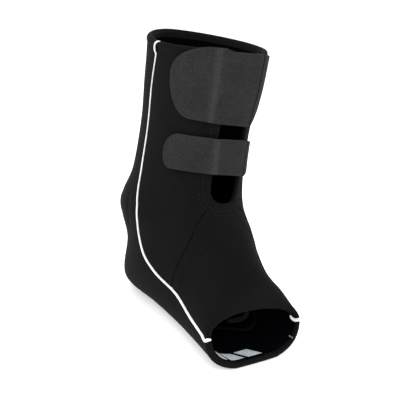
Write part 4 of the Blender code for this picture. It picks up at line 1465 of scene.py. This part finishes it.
@dataclass
class Strap(Assembly):
    """A strap of loop tape: sewn on the right panel, over the opening, and held on the left one."""

    name: str = "upper"
    top: float = 0.7
    width: float = 48.0
    reach: float = 38.4
    rounds: tuple[float, float] = (25.0, 16.0)
    lifts: tuple[float, float] = (0.0, 5.5)
    thick: float = 1.6
    seam_past: float = 4.1
    overlap: float = 9.0
    fold_gap: float = 1.6
    tip_margin: float = 3.0
    clearance: float = 0.35
    hook: float = 0.8
    joint: float = -6.5
    top_step: float = 2.0
    step_at: float = -15.5
    step_width: float = 1.5
    taper: float = 1.5
    sewn_back: float = 2.7
    sewn_lean: float = 0.6
    bend: float = 2.6
    fold_shift: float = 2.2
    ridge: tuple[float, float] = (-20.8, 0.2)
    corner_cuts: tuple[float, float] = (2.2, 11.5)
    stitches: Stitches = field(default_factory=lambda: Stitches(2.3, 0.8, 0.28))

    def __post_init__(self) -> None:
        """Works out the strap's edges, bending lines and end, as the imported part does."""
        self.top_edge = SLEEVE.down(self.top)
        self.low_edge = SLEEVE.down(self.top + self.width)
        self.middle = (self.low_edge + self.top_edge) / 2
        self.per_mm = (self.low_edge - self.top_edge) / self.width
        self.climbs = [lift * self.per_mm for lift in self.lifts]
        self.edge = float(SLEEVE.slit(self.middle))
        self.seam = self.edge + self.seam_past
        self.fold = -(self.edge + self.tip_margin)
        self.end = -(self.edge + self.reach)

    def angle(self, length: np.ndarray) -> np.ndarray:
        """The angle at a length round the sleeve from the shin line, positive on the right."""
        v = np.linspace(-math.pi / 2 - 0.6, math.pi / 2, 300)
        run = run_along(SLEEVE.loft(self.middle, v))
        return np.interp(length, run - np.interp(0.0, v, run), v)

    def under(self, length: np.ndarray) -> np.ndarray:
        """Depth of the inner face: on the panel at the seam and on the hooks past the fold."""
        share = np.clip((self.seam - length) / (self.seam - self.fold), 0, 1)
        return -(self.clearance + (self.hook + self.clearance) * share**2 * (3 - 2 * share))

    def station(self, length: np.ndarray, across: np.ndarray) -> np.ndarray:
        """The station at a length and a place across the strap, from its upper edge (-1) to 1.

        Both edges climb towards the tip, the upper one steps up once along a tanh curve, and the
        sewn end is drawn in evenly by the corner cuts.
        """
        share = np.clip((self.seam - length) / (self.seam - self.end), 0, 1)
        raised = self.top_step * (0.5 - 0.5 * np.tanh((length - self.step_at) / self.step_width))
        run = self.fold_gap + self.overlap + self.taper
        drawn = np.clip((length - self.seam + self.taper) / run, 0, 1)
        top = self.top_edge - self.climbs[0] * share
        top = top + (self.corner_cuts[0] * drawn - raised) * self.per_mm
        low = self.low_edge - self.climbs[1] * share - self.corner_cuts[1] * self.per_mm * drawn
        return (top + low) / 2 + across * (low - top) / 2

    def sewn_line(self, across: np.ndarray) -> np.ndarray:
        """Length at which the strap is stitched down, leaning a little across it."""
        return self.seam - self.sewn_back - self.sewn_lean * np.asarray(across)

    def ridge_line(self, across: np.ndarray) -> np.ndarray:
        """Length at which the tape steps up over the hooks and a highlight is painted on it, leaning
        across it.
        """
        return self.ridge[0] + self.ridge[1] * np.asarray(across)

    def form(self, length: np.ndarray, across: np.ndarray) -> np.ndarray:
        """Height of the tape's soft shape: a sum of bell curves, and two slow waves past the fold.

        It sags over the opening, rises over the hooks, the opening's edge and the fold, and dips
        along its seam. Each bell has a height, a place and a width.
        """
        bells = ((0.85, self.ridge_line(across), 2.3), (0.25, self.edge, 2.2),
                 (0.50, self.fold, 3.6), (-0.85, self.sewn_line(across), 0.85))
        step = sum(height * bell(length, place, width) for height, place, width in bells)
        sag = -0.55 * bell(length, 0.5, self.edge * 0.62)
        wave = 0.16 * np.sin(length / 6.0 + 2.4 * across)
        wave = wave + 0.10 * np.sin(length / 3.7 - 3.1 * across)
        far = np.clip((self.fold - length) / 6, 0, 1)
        return sag + step * (1 - 0.25 * across) + wave * far

    def strip(self, name: str, start: float, end: float, open_end: bool) -> bpy.types.Object:
        """A length of the tape with rounded edges.

        The section across the tape is a slab whose edges are quarter rounds; lengths run from the
        sewn end, and the free end is drawn in along a half ellipse.

        Args:
            name: The piece's name.
            start: Length at the end nearer the seam.
            end: Length at the end nearer the tip.
            open_end: Whether its end is the rounded tip.

        Returns:
            A closed mesh.
        """
        near = np.array(NEAR_STRAP)
        length = np.linspace(start, end, max(6, int(abs(start - end) / 0.45)))
        if open_end:
            longest = max(self.rounds)
            turn = np.linspace(0, math.pi / 2, 34)
            length = np.concatenate([np.linspace(start, end + longest, 24)[:-1],
                                     end + longest * (1 - np.sin(turn))])
        halves = []
        for rounding in self.rounds:
            into = np.clip((self.end + rounding - length) / rounding, 0, 1)
            halves.append(self.width / 2 * np.maximum(np.sqrt(1 - into**2), 0.06))
        rows = 27 if self.width > 30 else 19
        wide = halves[0] + halves[1]
        inset = np.minimum(near[:, None], wide * 0.2)
        middle = inset[-1] + (wide - 2 * inset[-1]) * np.linspace(0, 1, rows)[1:-1, None]
        local = np.concatenate([inset, middle, wide - inset[::-1]]) - halves[0]
        across = local / (self.width / 2)
        edge_gap = np.minimum(local + halves[0], halves[1] - local)
        if open_end:
            edge_gap = np.minimum(edge_gap, np.maximum(length - end, 0)[None, :])
        radius = self.thick * 0.47
        fold_in = shoulder(edge_gap, radius)
        if not open_end:
            from_end = np.maximum(start - length, 0)[None, :]
            end_gap = np.broadcast_to(from_end, edge_gap.shape)
            fold_in = np.maximum(fold_in, shoulder(end_gap, radius))
        u = self.station(length[None, :], across)
        v = np.broadcast_to(self.angle(length)[None, :], u.shape)
        lift = self.form(length[None, :], across)
        under = self.under(length)[None, :]
        outer = SLEEVE.skin(u, v, under - self.thick + fold_in - lift)
        inner = SLEEVE.skin(u, v, under - fold_in - np.maximum(lift, -0.2))
        outer, inner = outer[:, ::-1], inner[:, ::-1]
        points = np.concatenate([outer.reshape(-1, 3), inner.reshape(-1, 3)])
        made = add_object(name, points, slab_faces(*outer.shape[:2]), sharp=55)
        back = length[None, ::-1]
        pair = np.stack(np.broadcast_arrays(back, local[:, ::-1]), -1).reshape(-1, 2)
        put_uv(made, np.concatenate([pair, pair]))
        # wear: a painted highlight along the ridge line, and paler rubbed edges.
        wear = bell(back, self.ridge_line(across[:, ::-1]), 2.4)
        rubbed = np.clip(1 - edge_gap[:, ::-1] / 1.5, 0, 1) * 0.35
        put_factor(made, "wear", np.concatenate([np.maximum(wear, rubbed).ravel()] * 2))
        # The "sunk" factor marks where shade is painted along the sewn line.
        sunk = bell(back, self.sewn_line(across[:, ::-1]), 0.95)
        put_factor(made, "sunk", np.concatenate([sunk.ravel()] * 2))
        return made

    def hinge(self, length: float) -> tuple[tuple[float, ...], tuple[float, ...]]:
        """The start and end of a bending band, either side of a line along the strap."""
        depth = self.under(np.array(length)) - self.thick / 2
        ends = [SLEEVE.skin(self.station(np.array(at), 0.0), self.angle(np.array(at)), depth)
                for at in (length + self.bend, length - self.bend)]
        return tuple(ends[0] * MM), tuple(ends[1] * MM)

    def build(self) -> None:
        """Builds the sewn part, the tip and the stitches, and dresses the hook patch."""
        cut_end = self.seam + self.fold_gap + self.overlap
        sewn = self.strip(f"{self.name}_strap_tape", cut_end, self.joint, False)
        self.keep(sewn, LOOPS, None, [f"{self.name}_strap_anchor", f"{self.name}_strap"])
        start, end = self.hinge(self.seam)
        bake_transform(sewn)
        free = self.strip(f"{self.name}_strap_free_end", self.joint, self.end, True)
        self.keep(free, LOOPS, None, [f"{self.name}_strap_tip"])
        start, end = self.hinge(self.fold - self.fold_shift)
        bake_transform(free)
        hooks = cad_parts[f"{self.name}_hook_patch"].data.materials
        hooks.clear()
        hooks.append(HOOKS.make())
        self._rows()

    def _rows(self) -> None:
        """Two rows of thread across the sewn part."""
        for number, past in enumerate((0.0, 6.4)):
            across = np.linspace(-0.95, 0.95, 60)
            length = self.sewn_line(across) + past
            u = self.station(length, across)
            over = self.under(length) - self.thick - self.form(length, across) + 0.12
            path = SLEEVE.skin(u, self.angle(length), over)
            normal = SLEEVE.skin(u, self.angle(length), over - 1) - path
            row = self.stitches.row(f"{self.name}_strap_stitches_{number}", path, normal)
            self.keep(row, THREAD, None, [f"{self.name}_strap_stitching"] if number == 0 else [])
            start, end = self.hinge(self.seam)
            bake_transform(row)


# ---------------------------------------------------------------------------------------------------
# Studio


@dataclass(frozen=True)
class Lamp:
    """A soft area light: where it stands, what it looks at, its size and its power."""

    name: str
    place: tuple[float, float, float]
    size: float
    power: float
    aim: tuple[float, float, float] = (0.0, 0.0, 0.09)

    def build(self) -> None:
        """Adds the light, turned to its aim."""
        data = bpy.data.lights.new(self.name, "AREA")
        data.shape = "DISK"
        data.size = self.size
        data.energy = self.power
        made = bpy.data.objects.new(self.name, data)
        made.location = self.place
        way = Vector(self.aim) - Vector(self.place)
        made.rotation_euler = way.to_track_quat("-Z", "Y").to_euler()
        bpy.context.scene.collection.objects.link(made)


@dataclass
class Studio:
    """The floor, the light and the camera."""

    azimuth: float = -36.5
    elevation: float = 16.4
    roll: float = 6.8
    distance: float = 0.4257
    lens: float = 54.72
    target: tuple[float, float, float] = (0.0, -0.0021, 0.0817)
    shift: tuple[float, float] = (-0.008, 0.0155)
    floor_radius: float = 6.0
    floor_glow: float = 0.35
    world: float = 1.16
    lamps: tuple[Lamp, ...] = (
        Lamp("key", (-0.9, -1.1, 1.5), 1.1, 12.0),
        Lamp("rim_left", (-1.5, 0.7, 0.8), 0.9, 10.0),
        Lamp("fill", (1.3, -0.9, 0.9), 1.2, 5.0),
    )

    def build(self) -> None:
        """Builds the stage round the brace."""
        self._floor()
        self._world()
        for lamp in self.lamps:
            lamp.build()
        self._camera()

    def _floor(self) -> None:
        """A wide pale disc just under the sole."""
        angle = np.linspace(0, 2 * math.pi, 96, endpoint=False)
        radius = self.floor_radius / MM
        points = np.stack([radius * np.cos(angle), radius * np.sin(angle), np.full(96, -0.3)], -1)
        floor = add_object("studio_floor", points, [list(range(96))])
        graph = Graph("pale_floor")
        place = graph.node("TexCoord").outputs["Object"]
        tones = ((0.90, 0.90, 0.90), (0.94, 0.94, 0.94))
        colour = graph.ramp(graph.noise(place, 3.0, 2.0), 0.3, 0.7, tones)
        graph.join(colour, "Base Color")
        graph.shader.inputs["Roughness"].default_value = 0.9
        graph.shader.inputs["Emission Color"].default_value = (1, 1, 1, 1)
        graph.shader.inputs["Emission Strength"].default_value = self.floor_glow
        floor.data.materials.append(graph.material)

    def _world(self) -> None:
        """Even white light from all round."""
        world = bpy.data.worlds.new("studio")
        world.use_nodes = True
        background = world.node_tree.nodes["Background"]
        background.inputs["Color"].default_value = (1, 1, 1, 1)
        background.inputs["Strength"].default_value = self.world
        bpy.context.scene.world = world
        bpy.context.scene.view_settings.view_transform = "Standard"

    def _camera(self) -> None:
        """The camera looks at its target from an azimuth and elevation, rolled about its axis."""
        a, e, r = (math.radians(angle) for angle in (self.azimuth, self.elevation, self.roll))
        back = Vector((math.sin(a) * math.cos(e), -math.cos(a) * math.cos(e), math.sin(e)))
        right = Vector((math.cos(a), math.sin(a), 0))
        up = back.cross(right)
        across = right * math.cos(r) + up * math.sin(r)
        above = up * math.cos(r) - right * math.sin(r)
        place = Vector(self.target) + back * self.distance
        data = bpy.data.cameras.new("camera")
        data.lens = self.lens
        data.sensor_width = 36
        data.shift_x, data.shift_y = self.shift
        data.clip_start = 0.01
        made = bpy.data.objects.new("camera", data)
        rows = zip(across, above, back, place, strict=True)
        made.matrix_world = Matrix((*rows, (0, 0, 0, 1)))
        bpy.context.scene.collection.objects.link(made)
        bpy.context.scene.camera = made


def main() -> None:
    """Builds the brace and its studio in order, and reports each piece."""
    logging.basicConfig(level=logging.INFO, format="%(name)s: %(message)s")
    assemblies: list[Assembly] = [
        FoamPanels(),
        Binding(),
        Piping(),
        Sewing(),
        Inside(),
        Strap(name="upper"),
        Strap(name="lower", top=57.7, width=25.0, reach=35.5, rounds=(10.0, 8.0), lifts=(4.5, 8.0),
              top_step=0.0, ridge=(-13.5, 0.6), corner_cuts=(1.2, 3.5)),
    ]
    for assembly in assemblies:
        assembly.build()
        for piece in assembly.made:
            faces = len(piece.data.polygons)
            LOG.info("%s: %s, %d faces", type(assembly).__name__, piece.name, faces)
    Studio().build()


if __name__ == "__main__":
    main()
